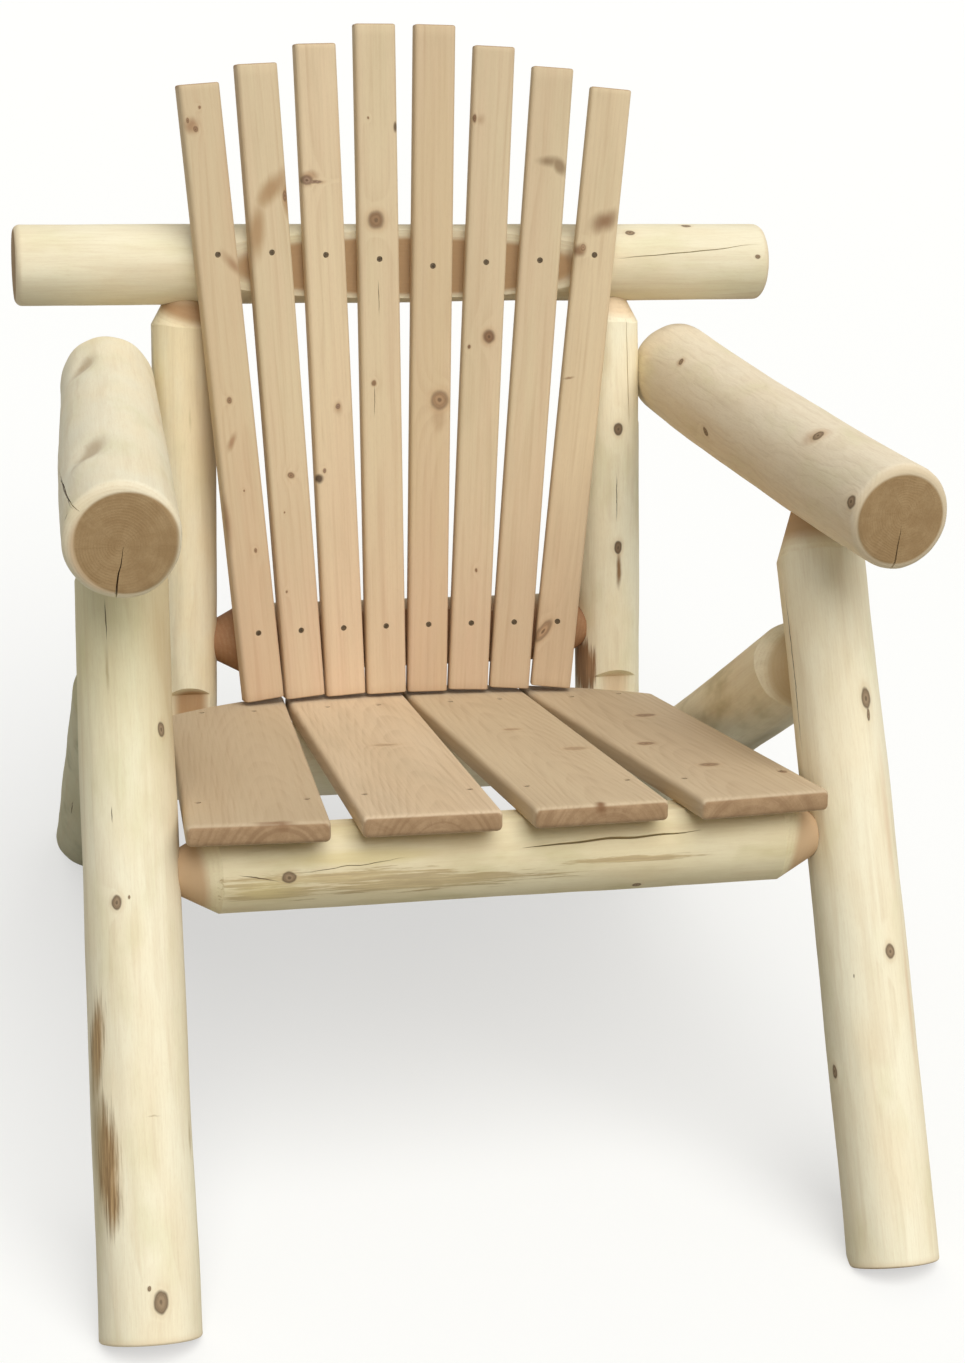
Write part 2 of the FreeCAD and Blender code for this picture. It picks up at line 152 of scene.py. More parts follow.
def coat(piece, material):
    piece.data.materials.clear()
    piece.data.materials.append(material)


def aim(along):  # turns the z axis this way
    return up.rotation_difference(along).to_matrix().to_4x4()


def newDrum(radius, low, high, sides):  # on the z axis from low to high
    bpy.ops.mesh.primitive_cylinder_add(vertices=sides, radius=radius * mm, depth=(high - low) * mm)
    drum = bpy.context.object
    settle(drum, Matrix.Translation((0, 0, (low + high) / 2 * mm)))
    return drum


def newCube():
    bpy.ops.mesh.primitive_cube_add(size=1)
    return bpy.context.object


def blockTool(matrix, low, high):
    tool = newCube()
    middle = Matrix.Translation([(a + b) / 2 * mm for a, b in zip(low, high)])
    settle(tool, matrix @ middle @ Matrix.Diagonal((*((b - a) * mm for a, b in zip(low, high)), 1)))
    return tool


def drumTool(middle, along, radius, depth, sides):
    tool = newDrum(radius, -depth / 2, depth / 2, sides)
    settle(tool, Matrix.Translation(middle) @ aim(along))
    return tool


# shader maths: a field wraps a socket, a sheet is the nodes of one material or of the world
class Field:
    def __init__(self, sheet, socket):
        self.sheet = sheet
        self.socket = socket

    def math(self, operation, *others):
        return self.sheet.sum(operation, self, *others)

    def __add__(self, other):
        return self.math("ADD", other)

    def __mul__(self, other):
        return self.math("MULTIPLY", other)

    def __sub__(self, other):
        return self.math("SUBTRACT", other)

    def __truediv__(self, other):
        return self.math("DIVIDE", other)

    def __rsub__(self, other):
        return self.sheet.sum("SUBTRACT", other, self)

    def __rtruediv__(self, other):
        return self.sheet.sum("DIVIDE", other, self)

    __radd__ = __add__

    def least(self, other):
        return self.math("MINIMUM", other)

    def most(self, other):
        return self.math("MAXIMUM", other)

    def root(self):
        return self.math("SQRT")

    def fade(self, low, high):  # 0 at low, 1 at high, soft between
        settings = {"interpolation_type": "SMOOTHSTEP", "clamp": True}
        sockets = {"Value": self, "From Min": low, "From Max": high}
        return self.sheet.node("ShaderNodeMapRange", settings, sockets)

    def ramp(self, mark):
        return self.fade(*ramps[mark])


class Sheet:
    def __init__(self, owner):
        self.owner = owner
        owner.use_nodes = True
        self.tree = owner.node_tree
        self.tree.nodes.clear()

    def node(self, kind, settings, sockets, out=0):
        made = self.tree.nodes.new(kind)
        for key, value in settings.items():
            setattr(made, key, value)
        for key, value in sockets.items():
            if isinstance(value, Field):
                self.tree.links.new(value.socket, made.inputs[key])
            else:
                made.inputs[key].default_value = value
        if out is None:
            return [Field(self, socket) for socket in made.outputs]
        return Field(self, made.outputs[out]) if len(made.outputs) else made

    def sum(self, operation, *values):
        return self.node("ShaderNodeMath", {"operation": operation}, dict(enumerate(values)))

    def mix(self, factor, first, second, blend="MIX"):
        settings = {"data_type": "RGBA", "blend_type": blend, "clamp_factor": True}
        first, second = (c if isinstance(c, Field) else tone(*c) for c in (first, second))
        return self.node("ShaderNodeMix", settings, {0: factor, 6: first, 7: second}, 2)

    def vector(self, operation, first, second):
        return self.node("ShaderNodeVectorMath", {"operation": operation}, {0: first, 1: second})

    def mapped(self, kind, place, **sockets):
        return self.node("ShaderNodeMapping", {"vector_type": kind}, {"Vector": place, **sockets})

    def cloud(self, place, size, seed, detail=2.0, rough=0.5, out=0):
        offset = (seed * 3.7, seed * 1.9, seed * 5.3)
        moved = self.mapped("POINT", place, Location=offset, Scale=tuple(1 / s for s in size))
        sockets = {"Vector": moved, "Scale": 1.0, "Detail": detail, "Roughness": rough}
        return self.node("ShaderNodeTexNoise", {"noise_dimensions": "3D"}, sockets, out)

    def spot(self, place, centre, turn, size):  # 1 on the rim of the spot, 0 in its middle
        near = self.mapped("TEXTURE", place, Location=centre, Rotation=turn, Scale=size)
        return self.node("ShaderNodeVectorMath", {"operation": "LENGTH"}, {0: near}, "Value")

    def seen(self):  # 1 for camera, glossy and transmission rays
        rays = self.node("ShaderNodeLightPath", {}, {}, None)
        return rays[0].most(rays[3]).most(rays[6])

    def finish(self, colour, rough, bump, gloss, metal=0.0):
        normal = self.node("ShaderNodeBump", {}, bump)
        sockets = {"Base Color": colour, "Roughness": rough, "Normal": normal}
        sockets.update({"Specular IOR Level": gloss, "Metallic": metal})
        shader = self.node("ShaderNodeBsdfPrincipled", {}, sockets)
        self.node("ShaderNodeOutputMaterial", {}, {"Surface": shader})
        return self.owner


# cedar, as one solid wood in a piece's own frame: x across, y away from its face, z along the grain, in mm
clouds = {
    "nap": (1.3, 1.3, 7), "wobble": (9, 9, 16), "blotch": (17, 17, 90), "pores": (1.5, 1.5, 30),
    "rag": (3, 3, 60),
}
ramps = {  # where each mark sets in and where it is full
    "late": (0.2, 0.85), "lateEnd": (1, 0.88), "mottle": (0.3, 0.74), "stain": (0.46, 0.8), "ring": (0.3, 0.7),
    "streak": (0.5, 0.78), "fibre": (0.4, 0.75), "nap": (0.45, 0.8), "blotch": (0.35, 0.7),
    "season": (0.42, 0.68), "rays": (0.5, 0.8), "pores": (0.45, 0.8), "rag": (0.36, 0.62), "smearAndShade": (1, 0.1),
    "check": (1, 0.35), "whorl": (0.3, 0.8), "knotHalo": (1.9, 0.9), "knotRim": (0.5, 0.95),
    "knotEye": (0.34, 0.1), "knotRise": (1.5, 0.7),
}
surface = {"rough": 0.66, "roughVary": 0.16, "roughHeart": 0.06, "bump": 0.55, "gloss": 0.12}


def cedar(name, matrix, look):
    sheet = Sheet(bpy.data.materials.new(name))
    held = sheet.node("ShaderNodeTexCoord", {}, {}, "Object")
    place, turn = matrix.to_translation(), matrix.to_euler("XYZ")
    stock = sheet.mapped("TEXTURE", held, Location=place, Rotation=turn, Scale=(mm, mm, mm))
    x, y, z = sheet.node("ShaderNodeSeparateXYZ", {}, {"Vector": stock}, None)
    seed = look["seed"]
    broad = sheet.cloud(stock, look["waveSize"], seed)
    fibre = sheet.cloud(stock, look["fibreSize"], seed + 1, 4, 0.62)
    nap = sheet.cloud(stock, clouds["nap"], seed + 7, 3, 0.6)
    mottle = sheet.cloud(stock, look["mottleSize"], seed + 2, 3)
    streak = sheet.cloud(stock, look["streakSize"], seed + 8, 3, 0.55)
    stain = sheet.cloud(stock, look["stainSize"], seed + 3, 3, 0.55)
    wobble = sheet.cloud(stock, clouds["wobble"], seed + 4, out="Color")
    wander = sheet.vector("MULTIPLY", sheet.vector("SUBTRACT", wobble, (0.5, 0.5, 0.5)), look["wobble"])
    uneven = sheet.vector("ADD", stock, wander)

    def spots(listed, place):  # nearest of some spots, in units of their own size
        nearest = None
        for spot in listed:
            found = sheet.spot(place, *look["spotAt"](*spot))
            nearest = found if nearest is None else nearest.least(found)
        return nearest

    # growth rings round the pith, pushed up round the knots
    px, py, leanX, leanY = look["pith"]
    dx = x - z * leanX - px
    dy = y - z * leanY - py
    reach = (dx * dx + dy * dy).root()
    knot = spots(look["knots"], uneven)
    ringed = reach + (broad - 0.5) * look["waver"]
    if knot:
        ringed = ringed + look["lift"] / (knot * knot * 0.35 + 1)
    years = ringed / look["ringGap"]
    phase = years.math("FRACT")
    late = phase.ramp("late") * phase.ramp("lateEnd")

    # outer wood, with its warmer, streaked and stained patches; on the rear left leg and the front seat rail
    # the stain tone also carries painted shade
    line = look["line"]
    layers = [(mottle.ramp("mottle") * look["mottled"], look["warm"])]
    layers.append((stain.ramp("stain") * look["stained"], look["stain"]))
    heart = None
    if "heartAt" in look:  # darker wood inside the paler outer rings
        heart = reach.fade(look["heartAt"] + 2, look["heartAt"] - look["heartSoft"])
        layers.append((heart, look["heart"]))
    layers.append((late * streak.ramp("ring") * look["ringDepth"], line))
    layers.append((streak.ramp("streak") * look["streaked"], line))
    layers.append((fibre.ramp("fibre") * look["fibreDepth"], line))
    layers.append((nap.ramp("nap") * look["napDepth"], line))
    colour = look["pale"]
    for mask, tint in layers:
        colour = sheet.mix(mask, colour, tint)
    if "fadeAlong" in look:  # colour drifts along the piece
        low, high, drift = look["fadeAlong"]
        colour = sheet.mix(z.fade(low, high) * look["driftDepth"], colour, drift, "MULTIPLY")
    ends = None
    for low, high in look["sawn"]:  # sawn ends, darker and open-pored
        near = z.fade(high, low)
        if "wrapAt" in look:  # end grain runs on round the eased lower edges
            near = near.most(z.fade(high + (high - low) * 3, low) * y.fade(look["wrapAt"], look["wrapAt"] + 4))
        ends = near if ends is None else ends.most(near)
    if ends:
        spoke = {"X": dx / reach * 6, "Y": dy / reach * 6, "Z": reach / 70 + seed}
        spoke = sheet.node("ShaderNodeCombineXYZ", {}, spoke)
        rays = sheet.cloud(spoke, (1, 1, 1), seed, 3, 0.6)
        seasons = sheet.node("ShaderNodeCombineXYZ", {}, {"X": years * 0.9, "Y": rays * 0.8, "Z": seed})
        season = sheet.cloud(seasons, (1, 1, 1), seed + 1)
        blotch = sheet.cloud(stock, clouds["blotch"], seed + 9, 3, 0.6)
        pores = sheet.cloud(stock, clouds["pores"], seed + 5, 3, 0.7)
        face = sheet.mix(blotch.ramp("blotch") * 0.75, look["sawnFace"], look["sawnPale"])
        season = season.ramp("season") * look["seasonDepth"]
        for mask in (season, rays.ramp("rays") * 0.35, pores.ramp("pores") * 0.4):
            face = sheet.mix(mask, face, look["sawnRing"])
        if "faceAt" in look:  # the eased rim browns towards the sawn face
            faceX, faceY = x - look["faceShift"][0], y - look["faceShift"][1]
            inside = (faceX * faceX + faceY * faceY).root().fade(look["faceAt"] + 1.6, look["faceAt"] - 1.6)
            ends = ends * inside
            near = (z / look["rimRun"]).least((look["length"] - z) / look["rimRun"])
            colour = sheet.mix(near.fade(1.0, 0.0) * look["rimDepth"], colour, look["rimTone"])
        colour = sheet.mix(ends, colour, face)

    # bark left on, stains, knots and checks, and smears, some of which are painted shade in dents, on a shaded
    # side and on an underside; the check colour is partly painted shade inside the cracks
    height = fibre * 0.5 + nap * 0.25 + late * look["ringBump"]
    if "bark" in look:
        rag = sheet.cloud(stock, clouds["rag"], seed + 6, 4, 0.65)
        bark = (spots(look["bark"], stock) + (rag - 0.5) * look["barkRag"]).fade(*look["barkEdge"])
        bark = bark * (x * x + y * y).root().fade(look["skin"] - 4, look["skin"] - 1.5)  # none on cut faces
        skin = sheet.mix(rag.ramp("rag"), look["barkDark"], look["barkTone"])
        colour = sheet.mix(bark * look["barkDepth"], colour, skin)
        height = height + bark * rag * 1.2
    if "smearsAndShade" in look:
        # the smear colour is a real mark on most pieces and painted shade on the left arm's dents, the left
        # front leg's shaded side and the right rear leg's underside
        smearAndShade = (spots(look["smearsAndShade"], uneven) + (mottle - 0.5) * 1.2).ramp("smearAndShade")
        colour = sheet.mix(smearAndShade * look["smearAndShadeDepth"], colour, look["smearAndShadeTone"])
    if knot:
        colour = sheet.mix(knot.ramp("knotHalo") * look["haloDepth"], colour, look["knotHalo"])
        core = knot.fade(*look["knotEdge"])
        whorl = (knot * 2.4 + fibre * 0.9).math("FRACT").ramp("whorl")
        flesh = look["knotFlesh"]
        for mask in (knot.ramp("knotRim"), knot.ramp("knotEye") * 0.8, whorl * 0.3):
            flesh = sheet.mix(mask, flesh, look["knotRim"])
        colour = sheet.mix(core * look["knotDepth"], colour, flesh)
        height = height + knot.ramp("knotRise") * 1.1 - core * whorl * 0.5
    if "checks" in look:
        check = spots(look["checks"], uneven).ramp("check")
        # the dark check colour is partly the cracks' own darker wood and partly painted shade inside them
        colour = sheet.mix(check * 0.85, colour, look["checkAndShadeTone"])
        height = height - check * 2.5

    rough = surface["rough"] + (fibre - 0.5) * surface["roughVary"]
    if heart:
        rough = rough + heart * surface["roughHeart"]
    bump = {"Strength": surface["bump"], "Distance": look["bump"] * mm, "Height": height}
    return sheet.finish(colour, rough, bump, surface["gloss"])


# logs: round stock with hand-peeled skin, coned and tenoned where they enter another log
joinery = {
    "tipRadius": 22, "tenonRadius": 19, "tenonLength": 50, "slack": 0.3, "socketDepth": 53, "mouth": 6,
    "mouthRun": 20,
}
peeling = {
    "sides": 96, "ringGap": 7, "easeSegments": 8, "coneCuts": 5, "splitCuts": 18, "smoothAngle": 19,
    "waves": ((1.1, 70, 190), (0.7, 24, 130), (0.25, 9, 38)),  # height, size round the log and along it
    "knotWide": 2.2, "knotTall": 2.4, "knotHigh": 0.13, "sapwood": 6.5,
}
logBase = {  # what a log has where its own settings don't say otherwise
    "ease": 3, "coneAngle": 28, "swell": 0, "taper": 1, "oval": 0.8, "ovalAt": 30, "bow": (0, 0),
    "pith": (2.5, -1.5), "tips": (False, True), "dents": (), "splits": (),
}


def coneSlope(log):
    return math.tan(math.radians(log["coneAngle"]))


def coneLength(log):
    return (log["radius"] - joinery["tipRadius"]) / coneSlope(log)


def logAxes(log):  # frame on the log's axis with y away from the camera
    start, end = Vector(log["start"]) * mm, Vector(log["end"]) * mm
    along = (end - start).normalized()
    toEye = eye - (start + end) / 2
    toEye = (toEye - along * toEye.dot(along)).normalized()
    return axesAt(start, (-toEye).cross(along), -toEye, along)


def around(angle, degrees):  # turn from a mark to this angle, from -pi to pi
    return (angle - math.radians(degrees) + math.pi) % (2 * math.pi) - math.pi


def skinAt(log, z, angle):  # how far the peeled skin lies from the axis
    radius, seed = log["radius"], log["seed"]
    skin = radius + log["swell"] + log["taper"] * (0.5 - z / log["length"])
    skin += log["oval"] * math.cos(2 * (angle - math.radians(log["ovalAt"])))
    a, b = math.sin(angle) * radius, math.cos(angle) * radius
    for axis, (high, size, run) in enumerate(peeling["waves"]):
        place = Vector((a / size, b / size, z / run))
        place[axis] += seed
        skin += high * noise.noise(place)
    for knotZ, knotAngle, wide, tall, *lean in log["knots"]:
        aside, off = around(angle, knotAngle) * radius, z - knotZ
        apart = math.hypot(aside / (wide * peeling["knotWide"]), off / (tall * peeling["knotTall"]))
        skin += peeling["knotHigh"] * wide * math.exp(-apart * apart)
    for dentZ, dentAngle, wide, tall, depth in log["dents"]:  # shaved branch stubs
        skin -= depth * math.exp(-(around(angle, dentAngle) * radius / wide) ** 2 - ((z - dentZ) / tall) ** 2)
    return skin


def growLog(name, log):
    radius = log["radius"]
    log["length"] = length = (Vector(log["end"]) - Vector(log["start"])).length
    low = coneLength(log) if log["tips"][0] else 0.0
    high = length - (coneLength(log) if log["tips"][1] else 0.0)
    piece = newDrum(radius, low, high, peeling["sides"])
    piece.name = "peeled_" + name
    openMesh(piece)
    for tipped, edge, ease in zip(log["tips"], (low, high), (log["ease"], log["easeFar"])):
        if not tipped:
            easeRim(piece, edge, ease, peeling["easeSegments"])
    pickEdges(piece, lambda a, b: abs(a.z - b.z) > 0.5 * (high - low) * mm)
    bpy.ops.mesh.subdivide(number_cuts=int((high - low) / peeling["ringGap"]))
    for tipped, away in zip(log["tips"], (-1, 1)):
        if tipped:
            pickCap(piece, away)
            pullOut(away * coneLength(log), joinery["tipRadius"] / radius)
            bpy.ops.mesh.inset(thickness=(joinery["tipRadius"] - joinery["tenonRadius"]) * mm)
            pullOut(away * joinery["tenonLength"])
            pickEdges(piece, lambda a, b: abs(abs(a.z - b.z) - coneLength(log) * mm) < 1e-5)
            bpy.ops.mesh.subdivide(number_cuts=peeling["coneCuts"])
    closeMesh()
    hew(piece, log, low, high)
    for split in log["splits"]:
        carve(piece, splitTool(log, split))
    log["axes"] = logAxes(log)
    settle(piece, log["axes"])
    return piece


def hew(piece, log, low, high):  # peeled unevenness on the body, true cones at the tips
    radius, length, tip = log["radius"], log["length"], joinery["tipRadius"]
    bowX, bowY = log["bow"]
    slope = coneSlope(log)
    for vertex in piece.data.vertices:
        x, y, z = vertex.co / mm
        across = math.hypot(x, y)
        angle = math.atan2(x, -y)
        beyond = (log["tips"][0] and z < low - 0.01, log["tips"][1] and z > high + 0.01)
        if any(beyond) and (across < tip - 0.5 or z < -0.01 or z > length + 0.01):
            continue  # the tenon stays true
        lowSkin, highSkin = skinAt(log, low, angle), skinAt(log, high, angle)
        lowZ = (lowSkin - tip) / slope if log["tips"][0] else 0.0
        highZ = length - (highSkin - tip) / slope if log["tips"][1] else length
        if any(beyond):
            share = (low - z) / low if beyond[0] else (z - high) / (length - high)
            skin, ringZ, endZ = (lowSkin, lowZ, 0.0) if beyond[0] else (highSkin, highZ, length)
            across = skin + (tip - skin) * share
            z = ringZ + (endZ - ringZ) * share
            bend = 0.0
        else:
            across *= skinAt(log, z, angle) / radius
            share = (z - low) / (high - low)
            z = lowZ + (highZ - lowZ) * share
            bend = math.sin(math.pi * share)
        x, y = across * math.sin(angle) + bowX * bend, -across * math.cos(angle) + bowY * bend
        vertex.co = Vector((x, y, z)) * mm


def splitTool(log, split):  # thin tapering blade, along the skin or from the heart out over a sawn end
    clear = 4 if "to" in split else 3  # how far the blade stands out of the wood
    tool = newCube()
    openMesh(tool)
    pickEdges(tool, lambda a, b: abs(a.z - b.z) > 0.5)
    bpy.ops.mesh.subdivide(number_cuts=peeling["splitCuts"])
    closeMesh()
    for vertex in tool.data.vertices:
        side, deep, along = vertex.co.x * 2, vertex.co.y + 0.5, vertex.co.z + 0.5
        shake = noise.noise(Vector((along * 5, split["from"][1], 1.7))) * split.get("shake", 1.2)
        if "to" in split:
            z, degrees = (a + (b - a) * along for a, b in zip(split["from"], split["to"]))
            swell = max(0.03, math.sin(math.pi * min(max(along, 0.0), 1.0))) ** split.get("taper", 0.6)
            width = swell * (1 - 0.8 * deep)
            reach = log["radius"] + clear - deep * (clear + split["depth"] * swell)
        else:
            degrees = split["from"][1]
            reach = split["from"][0] + (split["out"] - split["from"][0]) * along
            width = (0.06 + 0.94 * along ** 0.8) * (1 - 0.7 * deep)
            z = deep * (split["depth"] * (0.3 + 0.7 * along) + clear) - clear
        angle = math.radians(degrees)
        outward = Vector((math.sin(angle), -math.cos(angle), 0))
        sideways = Vector((math.cos(angle), math.sin(angle), 0))
        vertex.co = (outward * reach + sideways * (side * split["width"] * width / 2 + shake) + up * z) * mm
    openMesh(tool)
    bpy.ops.mesh.select_all(action="SELECT")
    bpy.ops.mesh.normals_make_consistent(inside=False)
    closeMesh()
    return tool


def socketTool(log, end):  # takes the cone and tenon at this end of a log
    start, finish = Vector(log["start"]) * mm, Vector(log["end"]) * mm
    along = (finish - start).normalized()
    slack = joinery["slack"]
    wide, tip = joinery["tenonRadius"] + slack, joinery["tipRadius"] + slack
    full = log["radius"] + slack + joinery["mouth"]
    tool = newDrum(wide, -joinery["socketDepth"], 0, peeling["sides"])
    openMesh(tool)
    pickCap(tool)
    for run, reach in ((0.0, tip), ((full - tip) / coneSlope(log), full), (joinery["mouthRun"], full)):
        pullOut(run, reach / wide)
        wide = reach
    closeMesh()
    settle(tool, Matrix.Translation(finish if end else start) @ aim(-along if end else along))
    return tool


peeledLook = {
    "pale": (243, 235, 206), "warm": (238, 223, 188), "mottled": 0.7, "stain": (222, 214, 172), "stained": 0.5,
    "heart": (198, 167, 130), "heartSoft": 6, "line": (196, 166, 126), "streaked": 0.04,
    "waveSize": (70, 70, 320), "mottleSize": (44, 44, 110), "streakSize": (7, 7, 200),
    "stainSize": (40, 40, 90), "fibreSize": (2, 2, 36), "wobble": (3, 3, 4), "ringGap": 2.7, "waver": 7,
    "lift": 2.5, "ringDepth": 0.18, "fibreDepth": 0.12, "napDepth": 0.12, "ringBump": 0.3, "bump": 0.5,
    "rimTone": (222, 200, 164), "rimRun": 9, "rimDepth": 0.6, "faceShift": (0, 0), "sawnFace": (160, 131, 92),
    "sawnPale": (176, 148, 108), "sawnRing": (132, 104, 70), "seasonDepth": 0.12, "knotFlesh": (150, 126, 98),
    "knotRim": (92, 74, 55), "knotHalo": (206, 178, 138), "knotDepth": 0.92, "haloDepth": 0.3,
    "knotEdge": (1.12, 0.78), "barkTone": (190, 152, 100), "barkDark": (138, 102, 62), "barkDepth": 0.9,
    "barkRag": 1.5, "barkEdge": (1.05, 0.6), "smearAndShadeTone": (196, 180, 132), "smearAndShadeDepth": 0.6,
    "checkAndShadeTone": (78, 58, 40),
}


def dressLog(piece, log):  # peeled-log wood with this log's own knots and marks
    radius, length, ease = log["radius"], log["length"], log["ease"]

    def spotAt(z, angle, wide, tall, lean=0):
        turn = math.radians(angle)
        place = (radius * math.sin(turn), -radius * math.cos(turn), z)
        return place, (0, math.radians(lean), turn), (wide, 18, tall)

    look = {**peeledLook, "heartAt": radius - peeling["sapwood"], "faceAt": radius - ease * 0.7, **log}
    look.update(spotAt=spotAt, skin=radius, pith=log["pith"] + (0.004, -0.003), sawn=[])
    if not log["tips"][0]:
        look["sawn"].append((0.4, 1 + ease * 0.4))
    if not log["tips"][1]:
        look["sawn"].append((length - 0.4, length - 1 - log["easeFar"] * 0.4))
    coat(piece, cedar(piece.name + "_wood", log["axes"], look))


def hand(piece, slot, *nodes):  # the piece stands for these CAD nodes
    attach(piece, "root")
    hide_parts(*nodes)


def pairOf(name, both, ofLeft, ofRight):  # one log on each side of the chair, mirrored in place
    made = {}
    for word, side, own in (("left", -1, ofLeft), ("right", 1, ofRight)):
        ends = {end: (side * both[end][0], *both[end][1:]) for end in ("start", "end")}
        made[name + "_" + word] = {**both, **own, **ends}
    return made


# side frames
frontLegs = pairOf("front_leg", {
    "start": (379.5, -498.3, 0), "end": (367.1, -55.1, 663.3), "radius": 47.75, "coneAngle": 21,
}, {
    "seed": 1, "taper": 3.8, "oval": 0.7, "bow": (-1.5, 0.5), "pith": (3, -2),
    "knots": [(582, 44, 4.5, 7.5), (416, -20, 5.2, 7), (40, 12, 7.5, 11.5), (53, 0, 1.8, 2.6),
        (420, -5, 1.3, 1.8)],
    "bark": [(279, -59, 14, 56, 8), (170, -47, 19, 66, -4), (138, -40, 10, 40)], "barkEdge": (1.15, 0.35),
    "barkDepth": 0.95, "barkTone": (184, 150, 104), "barkDark": (134, 104, 66),
    # the last, wide smear paints olive-brown shade along the shaded left side of the leg; the small ones are
    # marks
    "smearsAndShade": [(190, 68, 4, 22), (640, -21, 3, 34), (212, 11, 9, 1.6), (200, -66, 20, 130)],
    "smearAndShadeTone": (176, 156, 116), "checks": [(690, -21, 0.9, 24), (501, -22, 0.6, 9)],
    "fadeAlong": (430, 690, (240, 240, 222)), "driftDepth": 0.7,
}, {
    "seed": 2, "swell": -2, "taper": 1.2, "oval": 0.9, "ovalAt": 80, "bow": (1.2, 0.6), "pith": (-2, 2),
    "knots": [(578, 43, 6, 12), (561, 44, 2.2, 7), (317, 39, 5.4, 8), (199, -60, 4, 7.5)],
    "splits": [{"from": (720, -62), "to": (512, -63), "width": 1.3, "depth": 6}],
    "smearsAndShade": [(440, 58, 9, 110), (270, 68, 7, 130)], "smearAndShadeTone": (214, 182, 146), "smearAndShadeDepth": 0.5,
    "checks": [(616, -62, 1, 104, 0), (294, -13, 0.8, 3)],
})
rearLegs = pairOf("rear_leg", {
    "start": (338.1, 602.8, -126.3), "end": (368.2, -110.5, 509.6), "radius": 50,
}, {
    "seed": 3, "oval": 1, "bow": (0.8, 0.8), "knots": [(610, 60, 5, 8), (420, -150, 6, 9)],
    # the darker pale, warm and stain tones paint the shade this leg sits in, under the seat and behind the
    # front leg
    "pale": (202, 196, 162), "warm": (186, 178, 140), "stained": 0.95, "stain": (150, 146, 110),
    "checks": [(510, -41, 1, 40)],
}, {
    "seed": 4, "taper": 1.4, "ovalAt": -20, "bow": (-0.8, 0.6), "knots": [(560, 140, 5, 8), (330, -120, 6, 9)],
    "stained": 0.8, "stain": (190, 180, 138), "heart": (208, 188, 150), "heartAt": 43,
    # the broad dark smear along the underside is painted shade
    "smearsAndShade": [(720, 64, 36, 260)], "smearAndShadeTone": (124, 112, 80), "smearAndShadeDepth": 0.65,
})
arms = pairOf("arm", {
    "start": (381.9, -249, 721.5), "end": (338.1, 368.5, 660.7), "radius": 54, "tips": (False, False),
    "ease": 10,
}, {
    "easeFar": 42, "seed": 5, "taper": 1.6, "oval": 1.2, "ovalAt": 10, "pith": (-5, 4),
    "knots": [(330, 150, 7, 10)],
    "dents": [(488, -28, 17, 34, 5), (136, -26, 17, 34, 5), (104, -34, 16, 26, -2.5), (150, -85, 70, 280, -5)],
    "splits": [{"from": (200, -74), "to": (-14, -48), "width": 1.8, "depth": 9, "shake": 2.4, "taper": 0.45},
        {"from": (4, -166), "out": 58, "width": 2.6, "depth": 16, "shake": 1.6}],
    # the two smears over the shaved dents paint their shade, with a brown-grey tint
    "pale": (237, 229, 202), "smearsAndShade": [(487, -27, 17, 46, 16), (136, -25, 18, 46, 16)],
    "smearAndShadeTone": (170, 144, 110), "smearAndShadeDepth": 0.65, "streaked": 0.03, "faceAt": 49, "faceShift": (3, 1.5),
    "rimDepth": 0.35, "checks": [(92, -61, 1.5, 104, -6.5), (8, -62, 5, 0.8)],
}, {
    "seed": 6, "taper": -1.2, "oval": 1, "ovalAt": 60, "bow": (-4, 0), "pith": (6, -3),
    "knots": [(501, 12, 3.4, 6, 30), (378, -44, 3.6, 8, 15), (148, 26, 6.4, 8.5, 40), (13, -15, 7, 7.5)],
    "splits": [{"from": (6, -117), "out": 58, "width": 2.6, "depth": 16, "shake": 0.8}],
    "pale": (237, 224, 197), "warm": (233, 216, 186), "line": (186, 160, 124), "ringDepth": 0.15, "waver": 20,
    "waveSize": (44, 44, 130), "lift": 7, "streaked": 0.06, "napDepth": 0.2,
    "smearsAndShade": [(150, 24, 25, 22, 40), (501, 12, 9, 12)], "smearAndShadeTone": (190, 152, 116), "smearAndShadeDepth": 0.7,
    "faceAt": 46, "faceShift": (-2, -1.5), "rimTone": (210, 190, 156), "rimDepth": 0.8, "heartAt": 30,
})
backPosts = pairOf("back_post", {
    "start": (258.8, 224.1, 190.6), "end": (249.6, 378.7, 748.1), "radius": 38,
}, {
    "seed": 7, "oval": 0.6, "bow": (-1, 0), "knots": [(330, -120, 5, 8)], "warm": (242, 222, 178),
    "smearsAndShade": [(444, 10, 3, 26)], "heart": (184, 147, 108), "heartAt": 34,
}, {
    "seed": 8, "taper": 0.8, "oval": 0.7, "ovalAt": 70, "bow": (0.8, 0),
    "knots": [(424, 23, 5.6, 8), (283, 22, 5.2, 8)],
    "splits": [{"from": (562, 40), "to": (424, 46), "width": 1.9, "depth": 6, "taper": 0.45}],
    # the paler pale and warm tones are painted light, lifting the shade from the top rail and slats
    "pale": (249, 243, 215), "warm": (245, 231, 197), "heart": (236, 213, 178), "bark": [(136, -48, 24, 38)],
    # the bark mark here draws a brown patch low on the post's inner side
    "barkTone": (172, 128, 88), "barkDark": (140, 98, 62), "smearsAndShade": [(256, 23, 4.2, 32)],
    "smearAndShadeTone": (140, 106, 70), "smearAndShadeDepth": 0.95, "knotRim": (76, 58, 42), "knotFlesh": (122, 98, 74),
    "checks": [(342, 20, 0.7, 34)],
})
